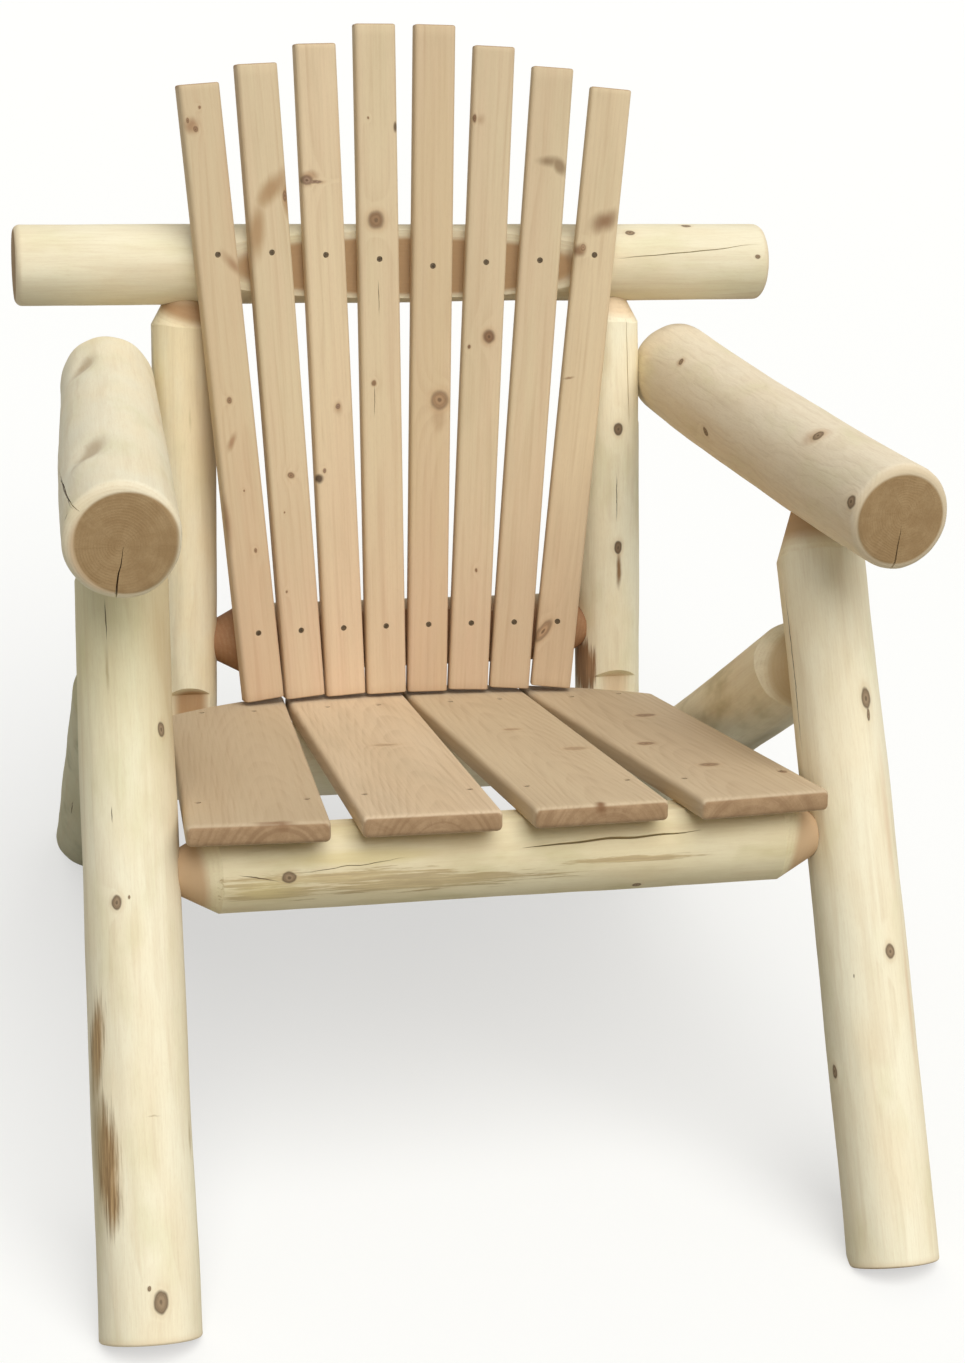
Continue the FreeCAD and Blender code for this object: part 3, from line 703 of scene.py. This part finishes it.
seatRails = {
    "front_seat_rail": {"start": (-330.6, -251.7, 369), "end": (330.6, -251.7, 369), "radius": 44,
        "tips": (True, True), "seed": 9, "taper": -1.4, "oval": 1, "bow": (1, -0.6),
        "knots": [(105, 15, 6, 7.5), (463, 63, 4, 5)],
        "splits": [{"from": (340, -4), "to": (528, -13), "width": 3.4, "depth": 8, "shake": 2.4},
            {"from": (108, 10), "to": (224, 0), "width": 1.1, "depth": 4, "shake": 3.4}], "heartAt": 35.5,
        # the darker pale, warm and stain tones are partly painted shade under the seat boards' overhang, over
        # the rail's own greenish streaks
        "heartSoft": 5, "pale": (230, 218, 182), "warm": (220, 204, 163), "stain": (200, 188, 140),
        "stained": 0.7, "bark": [(150, 19, 8, 130), (240, 33, 10, 120), (90, 36, 10, 60), (450, 18, 4, 70)],
        "barkTone": (190, 166, 114), "barkDark": (154, 126, 82), "barkDepth": 0.6, "barkRag": 3.2,
        "smearsAndShade": [(80, 34, 20, 60), (180, -5, 10, 110)], "smearAndShadeTone": (212, 194, 138),
        "checks": [(76, 14, 0.7, 24, 12)]},
    "rear_seat_rail": {"start": (-312.1, 170.1, 259.5), "end": (312.1, 170.1, 259.5), "radius": 44,
        "tips": (True, True), "seed": 10, "bow": (0.8, 0.4), "knots": [(210, -150, 6, 8), (430, 60, 5, 7)],
        "stained": 0.8},
}
backRails = {
    "top_back_rail": {"start": (-439.5, 389.1, 785.6), "end": (439.5, 389.1, 785.6), "radius": 45,
        "tips": (False, False), "ease": 8, "seed": 11, "taper": 0.6, "pith": (1, 3),
        "knots": [(863, -7, 2.2, 3), (783, -68, 4, 6), (710, -48, 4, 6), (250, 170, 7, 9), (560, 150, 6, 8)],
        "splits": [{"from": (690, -5), "to": (868, -26), "width": 1.8, "depth": 7, "shake": 2}],
        "pale": (238, 229, 199), "warm": (234, 219, 184), "heart": (187, 154, 115), "heartAt": 41,
        "heartSoft": 3, "smearsAndShade": [(634, -9, 14, 9)], "smearAndShadeTone": (150, 116, 80)},
    "lower_back_rail": {"start": (-225, 273.1, 367.4), "end": (225, 273.1, 367.4), "radius": 40,
        "tips": (True, True), "seed": 12, "taper": 0.6, "oval": 0.6, "knots": [(200, 170, 6, 8)],
        # heartAt beyond the radius browns the whole rail: darker wood together with painted shade from the
        # slats in front
        "heart": (164, 122, 90), "heartAt": 44},
}
logs, logPieces = {}, {}
for group in (frontLegs, rearLegs, arms, backPosts, seatRails, backRails):
    for name, log in group.items():
        logs[name] = {"easeFar": log.get("ease", logBase["ease"]), **logBase, **log}
        logPieces[name] = growLog(name, logs[name])
print("logs grown:", len(logPieces))

# planes and sizes that the joints share
joints = {
    "seatFront": (0, -251.7, 369), "seatBack": (0, 0.96796, -0.25112), "seatUp": (0, 0.25112, 0.96796),
    "backBase": (0, 238, 240.7), "backUp": (0, 0.26724, 0.96363), "backFront": (0, -0.96363, 0.26724),
    "underside": 40, "postLow": 258, "notchPlane": 28.5, "notchTop": 72.5, "notchHalf": 80, "notchRun": 300,
    "shoulder": 76, "restHalf": 38, "armPlane": 286.56, "armRear": (368.5, 660.7), "armTail": 14,
    "flatReach": 100, "flatHalf": 54, "armBore": 57.5, "railBore": 22, "boreRadius": 14, "boreRun": 60,
    "boreSides": 40, "slatBed": 23, "bedTop": 1323.3, "bedLow": 1081.8, "bedRun": 300, "bedSides": 720,
}
seatFront, seatBack, seatUp = (Vector(joints[k]) for k in ("seatFront", "seatBack", "seatUp"))
backBase, backUp, backFront = (Vector(joints[k]) for k in ("backBase", "backUp", "backFront"))


def boreTool(bottom, along):  # recess for a lag head and its washer
    run = joints["boreRun"]
    return drumTool(bottom - along * (run / 2 * mm), along, joints["boreRadius"], run, joints["boreSides"])


def cutJoints():
    notchAt, shoulder = joints["notchPlane"], joints["shoulder"]
    reach, half = joints["flatReach"], joints["flatHalf"]
    for end, (name, side) in enumerate((("left", -1), ("right", 1))):
        frontLeg, rearLeg, arm, post = (log + name for log in ("front_leg_", "rear_leg_", "arm_", "back_post_"))
        for leg in (frontLeg, rearLeg):
            sawOff(logPieces[leg], (0, 0, 0), -up)
        for host, guest, tip in ((frontLeg, "front_seat_rail", end), (frontLeg, rearLeg, 1), (arm, frontLeg, 1),
                                 (rearLeg, "rear_seat_rail", end), ("top_back_rail", post, 1),
                                 (post, "lower_back_rail", end)):
            carve(logPieces[host], socketTool(logs[guest], tip))
        arm, post = logPieces[arm], logPieces[post]

        # arm and post meet on one upright plane
        plane = Vector((side * joints["armPlane"], *joints["armRear"])) * mm
        sawOff(arm, plane, right * -side)
        facing = axesAt(plane, right * side, Vector((0, side, 0)), up)
        carve(post, blockTool(facing, (0, -reach, -half), (reach, reach, half)))
        # post foot notched over the rear seat rail, with a sloping shoulder
        low = (right * (side * joints["postLow"]) + backBase) * mm
        back = axesAt(low, right, backUp, right.cross(backUp))
        notchLow = (-joints["notchHalf"], -joints["notchRun"], notchAt)
        notchHigh = (joints["notchHalf"], joints["notchTop"], notchAt + shoulder)
        notch = blockTool(Matrix.Identity(4), notchLow, notchHigh)
        openMesh(notch)
        pickEdges(notch, lambda a, b: min(a.y, b.y) > 0 and min(a.z, b.z) > (notchAt + shoulder / 2) * mm)
        bpy.ops.transform.translate(value=(0, shoulder * mm, 0))
        closeMesh()
        settle(notch, back)
        carve(post, notch)
        restLow = (-joints["restHalf"], -shoulder, -shoulder)
        carve(logPieces["rear_seat_rail"], blockTool(back, restLow, (joints["restHalf"], shoulder, notchAt)))
        inward = right * side
        bottom = plane - (inward * joints["armBore"] + Vector((0, joints["armTail"], 0))) * mm
        carve(post, boreTool(bottom, inward))
        carve(post, boreTool(low - backFront * (joints["railBore"] * mm), backFront))
    for name in ("front_seat_rail", "rear_seat_rail"):  # planed flat under the boards
        sawOff(logPieces[name], (seatFront + seatUp * joints["underside"]) * mm, seatUp)
    for name, bed in (("top_back_rail", joints["bedTop"]), ("lower_back_rail", joints["bedLow"])):
        middle = Vector((0, *logs[name]["start"][1:])) + backFront * (joints["slatBed"] + bed)
        carve(logPieces[name], drumTool(middle * mm, backUp, bed, joints["bedRun"], joints["bedSides"]))


cutJoints()
for name, piece in logPieces.items():
    smooth(piece, peeling["smoothAngle"])
    dressLog(piece, logs[name])
    hand(piece, "peeled_log", name)
print("logs joined and dressed")

# boards and slats: x across, y away from the face, z along
plankLook = {
    "knots": (), "pale": (218, 199, 163), "warm": (217, 192, 158), "mottled": 0.7, "stain": (204, 186, 150),
    "stained": 0.4, "line": (188, 156, 122), "ringGap": 3.4, "waver": 12, "lift": 7, "ringDepth": 0.22,
    "fibreDepth": 0.14, "napDepth": 0.12, "streaked": 0.12, "ringBump": 0.3, "bump": 0.3,
    "waveSize": (90, 90, 420), "mottleSize": (24, 24, 260), "streakSize": (5, 9, 240),
    "stainSize": (34, 34, 160), "fibreSize": (2.2, 2.2, 110), "wobble": (2.5, 2.5, 3.5),
    "sawnFace": (184, 153, 117), "sawnPale": (196, 166, 130), "sawnRing": (156, 122, 90), "seasonDepth": 0.5,
    "knotFlesh": (154, 121, 91), "knotRim": (100, 75, 54), "knotHalo": (196, 160, 122), "knotDepth": 0.88,
    "haloDepth": 0.36, "knotEdge": (1.25, 0.6), "smearAndShadeTone": (166, 130, 97), "smearAndShadeDepth": 0.7,
    "checkAndShadeTone": (84, 62, 44),
}
plankMesh = {"easeSegments": 4, "rimSegments": 2, "smoothAngle": 40}


def dressPlank(piece, plank, ends, matrix, thickness, look):
    def spotAt(across, along, wide, tall, lean=0):
        return (across, -thickness, along), (0, math.radians(lean), 0), (wide, 14, tall)

    low, high = ends
    sawn = [(low + 0.3, low + 1.6), (high - 0.3, high - 1.6)]
    look = {**plankLook, **look, **plank, "spotAt": spotAt, "wrapAt": 3 - thickness, "sawn": sawn}
    coat(piece, cedar(piece.name + "_wood", matrix, look))


def copyPiece(blank, name):
    piece = blank.copy()
    piece.data = blank.data.copy()
    piece.name = name
    bpy.context.scene.collection.objects.link(piece)
    return piece


def plankBlank(stock):  # eased along its length, and at its near end too where the stock says so
    half, length = stock["width"] / 2, stock["blank"]
    blank = blockTool(Matrix.Identity(4), (-half, -stock["thickness"], 0), (half, 0, length))
    farAway = length * mm * 0.9
    openMesh(blank)
    if stock["easeFront"]:
        pickEdges(blank, lambda a, b: min(a.z, b.z) < farAway)
    else:
        pickEdges(blank, lambda a, b: abs(a.z - b.z) > farAway)
    bpy.ops.mesh.bevel(offset=stock["ease"] * mm, segments=plankMesh["easeSegments"], profile=0.5)
    pickEdges(blank, lambda a, b: abs(a.z - b.z) > farAway * 0.8)
    bpy.ops.mesh.subdivide(number_cuts=stock["cuts"])
    closeMesh()
    return blank


# countersunk screws, and the holes that they sit in
screw = {
    "headRadius": 3.3, "shankRadius": 2.1, "slack": 0.15, "slatLength": 45, "seatLength": 50, "lip": 0.5,
    "headEase": 0.25, "tipRun": 5, "tipShare": 0.08, "slotHalf": 1.9, "slotWide": 0.9, "slotDeep": 1.2,
    "slotClear": 1, "sides": 24, "holeClear": 4, "holeTurn": 0.2, "smoothAngle": 35,
}


def screwHoleTool(head, inward, depth):
    wide, narrow = screw["headRadius"] + screw["slack"], screw["shankRadius"] + screw["slack"]
    tool = newDrum(wide, -screw["holeClear"], 0, screw["sides"])
    openMesh(tool)
    pickCap(tool)
    pullOut(wide - narrow, narrow / wide)
    pullOut(depth)
    closeMesh()
    settle(tool, Matrix.Translation(head) @ aim(inward) @ Matrix.Rotation(screw["holeTurn"], 4, "Z"))
    return tool


fan = {
    "width": 47, "thickness": 21, "ease": 5, "easeFront": False, "blank": 960, "cuts": 64, "below": 200,
    "pitchTop": 63, "pitchLow": 51.5, "bedGap": 0.3, "topRow": (0, 389.1, 785.6), "lowRow": (0, 273.1, 367.4),
    "head": 266, "step": 22.5, "headEase": 2.2, "footGap": 4, "footEase": 1, "screwLow": 16, "sink": 1,
    "seatTop": 62,
}
slatLook = {"fadeAlong": (300, -60, (251, 243, 247)), "driftDepth": 0.9}
slats = [
    {"seed": 21, "pith": (14, 46, 0.012, 0.006), "screwTop": 12,
        "knots": [(-3, 609, 1.5, 2), (-10, 586, 2.6, 3.2), (-18, 596, 1.6, 3), (-5, 286, 3.2, 3.8),
            (7, 112, 2, 2.8), (1, 182, 1, 1.4)], "pale": (213, 193, 157), "warm": (211, 185, 150),
        "smearAndShadeDepth": 0.85,
        "smearsAndShade": [(-14, 590, 11, 12), (-7, 239, 6, 16, 28), (17, 435, 9, 25, -36), (-24, 146, 8, 46)]},
    {"seed": 22, "pith": (-30, 60, -0.01, 0.004), "screwTop": 14,
        "knots": [(20, 510, 2.8, 6), (2, 197, 4, 3.6), (-9, 155, 1, 1.4), (-14, 63, 1.2, 1.6)],
        "smearsAndShade": [(5, 518, 15, 34, 44), (-16, 474, 13, 40, 8), (21, 508, 6, 26)], "smearAndShadeTone": (168, 132, 92),
        "smearAndShadeDepth": 0.8},
    {"seed": 23, "pith": (5, 70, 0.004, -0.004), "screwTop": 11,
        "knots": [(-18, 529, 7, 5.6), (-9, 527, 9, 2), (-14, 201, 2.2, 3), (5.6, 274, 3, 3.2)],
        "pale": (226, 206, 169), "warm": (224, 199, 164), "smearsAndShade": [(6, 272, 9, 16), (-14, 534, 18, 9)],
        "knotFlesh": (156, 128, 106), "knotRim": (92, 66, 50), "checks": [(-21, 192, 7, 7)],
        "checkAndShadeTone": (62, 42, 32)},
    {"seed": 24, "pith": (-8, 52, 0.008, 0.006), "screwTop": 6,
        "knots": [(-3.5, 484, 9.5, 10), (-10, 597, 1.2, 1.6), (-9.5, 300, 2.8, 3.4)], "pale": (222, 203, 166),
        "knotFlesh": (146, 113, 82), "checks": [(-9, 280, 0.5, 22), (-2, 396, 0.6, 24), (21, 587, 3.2, 8)]},
    {"seed": 25, "pith": (20, 40, -0.008, 0.005), "screwTop": -2, "knots": [(9.7, 279, 10.5, 11)],
        "pale": (214, 191, 153), "smearsAndShade": [(9, 258, 12, 20)], "smearAndShadeDepth": 0.4, "knotFlesh": (172, 138, 104),
        "knotRim": (104, 78, 56), "lift": 12},
    {"seed": 26, "pith": (-20, 66, 0.01, 0.003), "screwTop": 2,
        "knots": [(-20, 597, 2.2, 5), (7, 352, 7, 8), (-16, 339, 2, 2.6), (3, 79, 1.6, 2.4)],
        "smearsAndShade": [(-13, 596, 8, 11), (6, 350, 12, 14)], "smearAndShadeDepth": 0.5, "knotFlesh": (136, 102, 74),
        "knotRim": (86, 60, 42)},
    {"seed": 27, "pith": (10, 58, -0.006, 0.006), "screwTop": 4,
        "smearsAndShade": [(14, 547, 9, 14, -44), (0, 551, 19, 9)], "smearAndShadeDepth": 0.75, "smearAndShadeTone": (134, 108, 78)},
    {"seed": 28, "pith": (-12, 48, 0.009, -0.003), "screwTop": 10,
        "knots": [(-14, 453, 3.2, 4), (-16, 3, 6, 16, 33)], "pale": (224, 204, 167), "warm": (220, 197, 160),
        "knotFlesh": (186, 152, 118),
        "smearsAndShade": [(8, 485, 15, 22, 50), (-15, 303, 9, 2.6, -14), (-19, 449, 10, 9)],
        "smearAndShadeTone": (138, 102, 72), "smearAndShadeDepth": 0.85},
]


def makeSlats():
    blank = plankBlank(fan)
    half, thickness = fan["width"] / 2, fan["thickness"]
    upper, lower = [], []
    for index, slat in enumerate(slats):
        place = index - (len(slats) - 1) / 2
        rows = []
        for centre, pitch, bed in (("topRow", "pitchTop", "bedTop"), ("lowRow", "pitchLow", "bedLow")):
            out = place * fan[pitch]
            lift = joints["slatBed"] + fan["bedGap"] + joints[bed] - math.sqrt(joints[bed] ** 2 - out ** 2)
            rows.append(Vector(fan[centre]) + right * out + backFront * lift)
        top, low = rows
        along = (top - low).normalized()
        facing = backFront - right * (place * fan["pitchTop"] / joints["bedTop"])
        facing = (facing - along * facing.dot(along)).normalized()
        across = along.cross(facing)
        corners = [low + facing * lift + across * edge for lift in (0, thickness) for edge in (-half, half)]
        lowest = min((corner - seatFront).dot(seatUp) for corner in corners)
        foot = (fan["seatTop"] + fan["footGap"] - lowest) / along.dot(seatUp)
        head = (top - low).length + fan["head"] - fan["step"] * math.floor(abs(place))
        piece = copyPiece(blank, "slat_" + str(index + 1))
        settle(piece, Matrix.Translation((0, 0, -fan["below"] * mm)))
        sawOff(piece, (0, 0, foot * mm), -up)
        sawOff(piece, (0, 0, head * mm), up)
        openMesh(piece)
        easeRim(piece, foot, fan["footEase"], plankMesh["rimSegments"])
        easeRim(piece, head, fan["headEase"], plankMesh["rimSegments"])
        closeMesh()
        matrix = axesAt(low * mm, across, -facing, along)
        for z, row in (((top - low).length + slat["screwTop"], upper), (fan["screwLow"], lower)):
            held = Vector((0, fan["sink"] - thickness, z)) * mm
            carve(piece, screwHoleTool(held, Vector((0, 1, 0)), thickness))
            row.append((matrix @ held, -facing))
        settle(piece, matrix)
        smooth(piece, plankMesh["smoothAngle"])
        dressPlank(piece, slat, (foot, head), matrix, thickness, slatLook)
        hand(piece, "slat_wood", "back_slat_" + str(index + 1))
    bpy.data.objects.remove(blank)
    return upper, lower


upperScrews, lowerScrews = makeSlats()
print("slats made:", len(slats))

seat = {
    "width": 139.7, "thickness": 22, "ease": 5.5, "easeFront": True, "blank": 760, "cuts": 60, "frontGap": 32,
    "rearGap": 5.5, "overhang": 63, "run": 435.8, "tail": 82, "arc": 454.5, "arcDepth": 400, "arcSides": 360,
    "sink": 1, "insetFront": 16, "insetRear": 40, "setbackFront": 24, "leadRear": 10, "ends": (0, 900),
}
boardLook = {
    "pale": (205, 184, 152), "warm": (198, 176, 144), "stain": (188, 168, 137), "line": (168, 140, 111),
    "ringGap": 4.6, "ringDepth": 0.26, "waveSize": (60, 60, 150), "waver": 7, "mottleSize": (46, 24, 220),
    "streaked": 0.16, "sawnFace": (164, 134, 100), "sawnPale": (180, 150, 115), "sawnRing": (138, 108, 78),
    "knotFlesh": (156, 126, 96), "knotRim": (118, 92, 68), "knotDepth": 0.6, "haloDepth": 0.25,
    "smearAndShadeTone": (140, 102, 70), "smearAndShadeDepth": 0.75,
}
boards = [
    {"seed": 31, "pith": (22, 14, 0, 0.075), "pale": (197, 176, 145), "warm": (191, 169, 137),
        "smearsAndShade": [(22, 2, 12, 10), (18, 3, 26, 5)], "smearAndShadeTone": (126, 90, 60)},
    {"seed": 32, "pith": (6, 16, 0.05, 0.07), "knots": [(3, 291, 12, 5)], "pale": (215, 192, 160),
        "warm": (210, 185, 151), "knotDepth": 0.4},
    {"seed": 33, "pith": (8, 18, -0.03, 0.08), "knots": [(43, 231, 13, 7), (1, 334, 9, 5)],
        "pale": (206, 185, 152), "knotDepth": 0.45, "smearsAndShade": [(-2, 2, 8, 11)], "smearAndShadeTone": (126, 90, 60),
        "smearAndShadeDepth": 0.9},
    {"seed": 34, "pith": (-16, 24, 0.03, 0.06),
        "knots": [(17, 371, 12, 7), (-34, 242, 10, 7), (-6, 134, 11, 7), (56, 83, 4, 5)], "knotDepth": 0.85},
]


def makeBoards():
    blank = plankBlank(seat)
    width, thickness, run = seat["width"], seat["thickness"], seat["run"]
    screwRows = [(seat["insetFront"], seat["overhang"] + seat["setbackFront"], []),
                 (seat["insetRear"], seat["overhang"] + run - seat["leadRear"], [])]
    for index, board in enumerate(boards):
        place = index - (len(boards) - 1) / 2
        bed = seatFront + seatUp * joints["underside"]
        start = bed + right * (place * (width + seat["frontGap"])) - seatBack * seat["overhang"]
        end = bed + right * (place * (width + seat["rearGap"])) + seatBack * run
        along = (end - start).normalized()
        across = along.cross(seatUp)
        piece = copyPiece(blank, "board_" + str(index + 1))
        matrix = axesAt(start * mm, across, -seatUp, along)
        settle(piece, matrix)
        middle = (seatFront + seatBack * (run + seat["tail"] - seat["arc"])) * mm
        carve(piece, drumTool(middle, seatUp, seat["arc"], seat["arcDepth"], seat["arcSides"]), "INTERSECT")
        head = start + seatUp * (thickness - seat["sink"])
        for inset, back, row in screwRows:
            for side in (-1, 1):
                held = (head + across * (side * (width / 2 - inset)) + along * back) * mm
                carve(piece, screwHoleTool(held, -seatUp, thickness))
                row.append((held, -seatUp))
        smooth(piece, plankMesh["smoothAngle"])
        dressPlank(piece, board, seat["ends"], matrix, thickness, boardLook)  # no end grain on the rear curve
        hand(piece, "board_wood", "seat_board_" + str(index + 1))
    bpy.data.objects.remove(blank)
    return [row for inset, back, row in screwRows]


frontScrews, rearScrews = makeBoards()
print("boards made:", len(boards))


# one screw is modelled and copied along each of the four rows
def modelScrew(length):
    head, shank, lip, tip = screw["headRadius"], screw["shankRadius"], screw["lip"], screw["tipRun"]
    piece = newDrum(head, 0, lip, screw["sides"])
    openMesh(piece)
    pickCap(piece)
    taper = head - shank
    for run, share in ((taper - lip, shank / head), (length - taper - tip, 1.0), (tip, screw["tipShare"])):
        pullOut(run, share)
    easeRim(piece, 0, screw["headEase"], 2)
    closeMesh()
    slotLow = (-screw["slotHalf"], -screw["slotWide"] / 2, -screw["slotClear"])
    slotHigh = (screw["slotHalf"], screw["slotWide"] / 2, screw["slotDeep"])
    for turn in (0, 90):  # crossed slots for the driver
        carve(piece, blockTool(Matrix.Rotation(math.radians(turn), 4, "Z"), slotLow, slotHigh))
    smooth(piece, screw["smoothAngle"])
    return piece


metal = {
    "patchEdge": (0.35, 0.7), "fineSize": (0.6, 0.6, 0.6), "fineEdge": (0.5, 0.8), "fineDepth": 0.4,
    "roughVary": 0.25, "bump": 0.3, "bumpHigh": 0.1, "gloss": 0.5,
}


def steel(name, look):
    sheet = Sheet(bpy.data.materials.new(name))
    held = sheet.node("ShaderNodeTexCoord", {}, {}, "Object")
    spread = sheet.mapped("POINT", held, Scale=(1 / mm, 1 / mm, 1 / mm))
    patch = sheet.cloud(spread, look["patch"], 3, 3)
    fine = sheet.cloud(spread, metal["fineSize"], 5, 4, 0.7)
    colour = sheet.mix(patch.fade(*metal["patchEdge"]), look["base"], look["dull"])
    colour = sheet.mix(fine.fade(*metal["fineEdge"]) * metal["fineDepth"], colour, look["dark"])
    rough = look["rough"] + (patch - 0.5) * metal["roughVary"]
    bump = {"Strength": metal["bump"], "Distance": metal["bumpHigh"] * mm, "Height": fine}
    return sheet.finish(colour, rough, bump, metal["gloss"], look["metal"])


screwSteel = steel("screw_bronze_coat", {
    "base": (112, 95, 70), "dull": (86, 71, 52), "dark": (52, 42, 32), "patch": (3, 3, 3), "rough": 0.5,
    "metal": 0.35,
})
lagSteel = steel("lag_zinc", {
    "base": (178, 178, 172), "dull": (150, 150, 144), "dark": (112, 108, 100), "patch": (5, 5, 5),
    "rough": 0.42, "metal": 0.9,
})


def makeScrewRow(name, held, length):
    model = modelScrew(length)
    row = []
    for index, (head, inward) in enumerate(held):
        piece = copyPiece(model, name + "_" + str(index))
        spin = Matrix.Rotation(index * 1.1 + length, 4, "Z")  # driven home at any turn
        settle(piece, Matrix.Translation(head) @ aim(inward) @ spin)
        row.append(piece)
    bpy.data.objects.remove(model)
    pickOnly(row[0])
    for piece in row:
        piece.select_set(True)
    bpy.ops.object.join()
    joined = bpy.context.object
    joined.name = name + "_set"
    coat(joined, screwSteel)
    hand(joined, "screw_steel", name)


for name, held in (("slat_screws_upper", upperScrews), ("slat_screws_lower", lowerScrews)):
    makeScrewRow(name, held, screw["slatLength"])
for name, held in (("seat_screws_front", frontScrews), ("seat_screws_rear", rearScrews)):
    makeScrewRow(name, held, screw["seatLength"])
for name in ("arm_lag_screws", "post_lag_screws", "lag_washers"):
    coat(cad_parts[name], lagSteel)
print("screws made")

# floor, lamp and world
studio = {
    "floor": (168, 168, 164), "floorSize": 60, "floorRough": 0.9, "floorLift": 0.55, "world": 0.29, "white": 1,
    "sun": 2.75, "sunSpread": 60, "sunAt": (0, -2, 3), "sunFrom": (0.28, -0.8, 1.5),
}


def setStudio():
    bpy.ops.mesh.primitive_plane_add(size=studio["floorSize"])
    floor = bpy.context.object
    floor.name = "floor"
    sheet = Sheet(bpy.data.materials.new("floor_pale"))
    matt = {"Base Color": tone(*studio["floor"]), "Roughness": studio["floorRough"]}
    matt = sheet.node("ShaderNodeBsdfPrincipled", {}, matt)
    lift = sheet.node("ShaderNodeEmission", {}, {"Strength": sheet.seen() * studio["floorLift"]})
    both = sheet.node("ShaderNodeAddShader", {}, {0: matt, 1: lift})
    sheet.node("ShaderNodeOutputMaterial", {}, {"Surface": both})
    coat(floor, sheet.owner)
    sky = Sheet(bpy.data.worlds.new("studio"))
    strength = sky.seen() * (studio["white"] - studio["world"]) + studio["world"]
    glow = sky.node("ShaderNodeBackground", {}, {"Color": (1, 1, 1, 1), "Strength": strength})
    sky.node("ShaderNodeOutputWorld", {}, {"Surface": glow})
    bpy.context.scene.world = sky.owner
    lean = Vector(studio["sunFrom"]).to_track_quat("Z", "Y").to_euler()
    bpy.ops.object.light_add(type="SUN", location=studio["sunAt"], rotation=lean)
    sun = bpy.context.object
    sun.data.energy = studio["sun"]
    sun.data.angle = math.radians(studio["sunSpread"])
    bpy.context.scene.view_settings.view_transform = "Standard"


setStudio()
print("studio set")
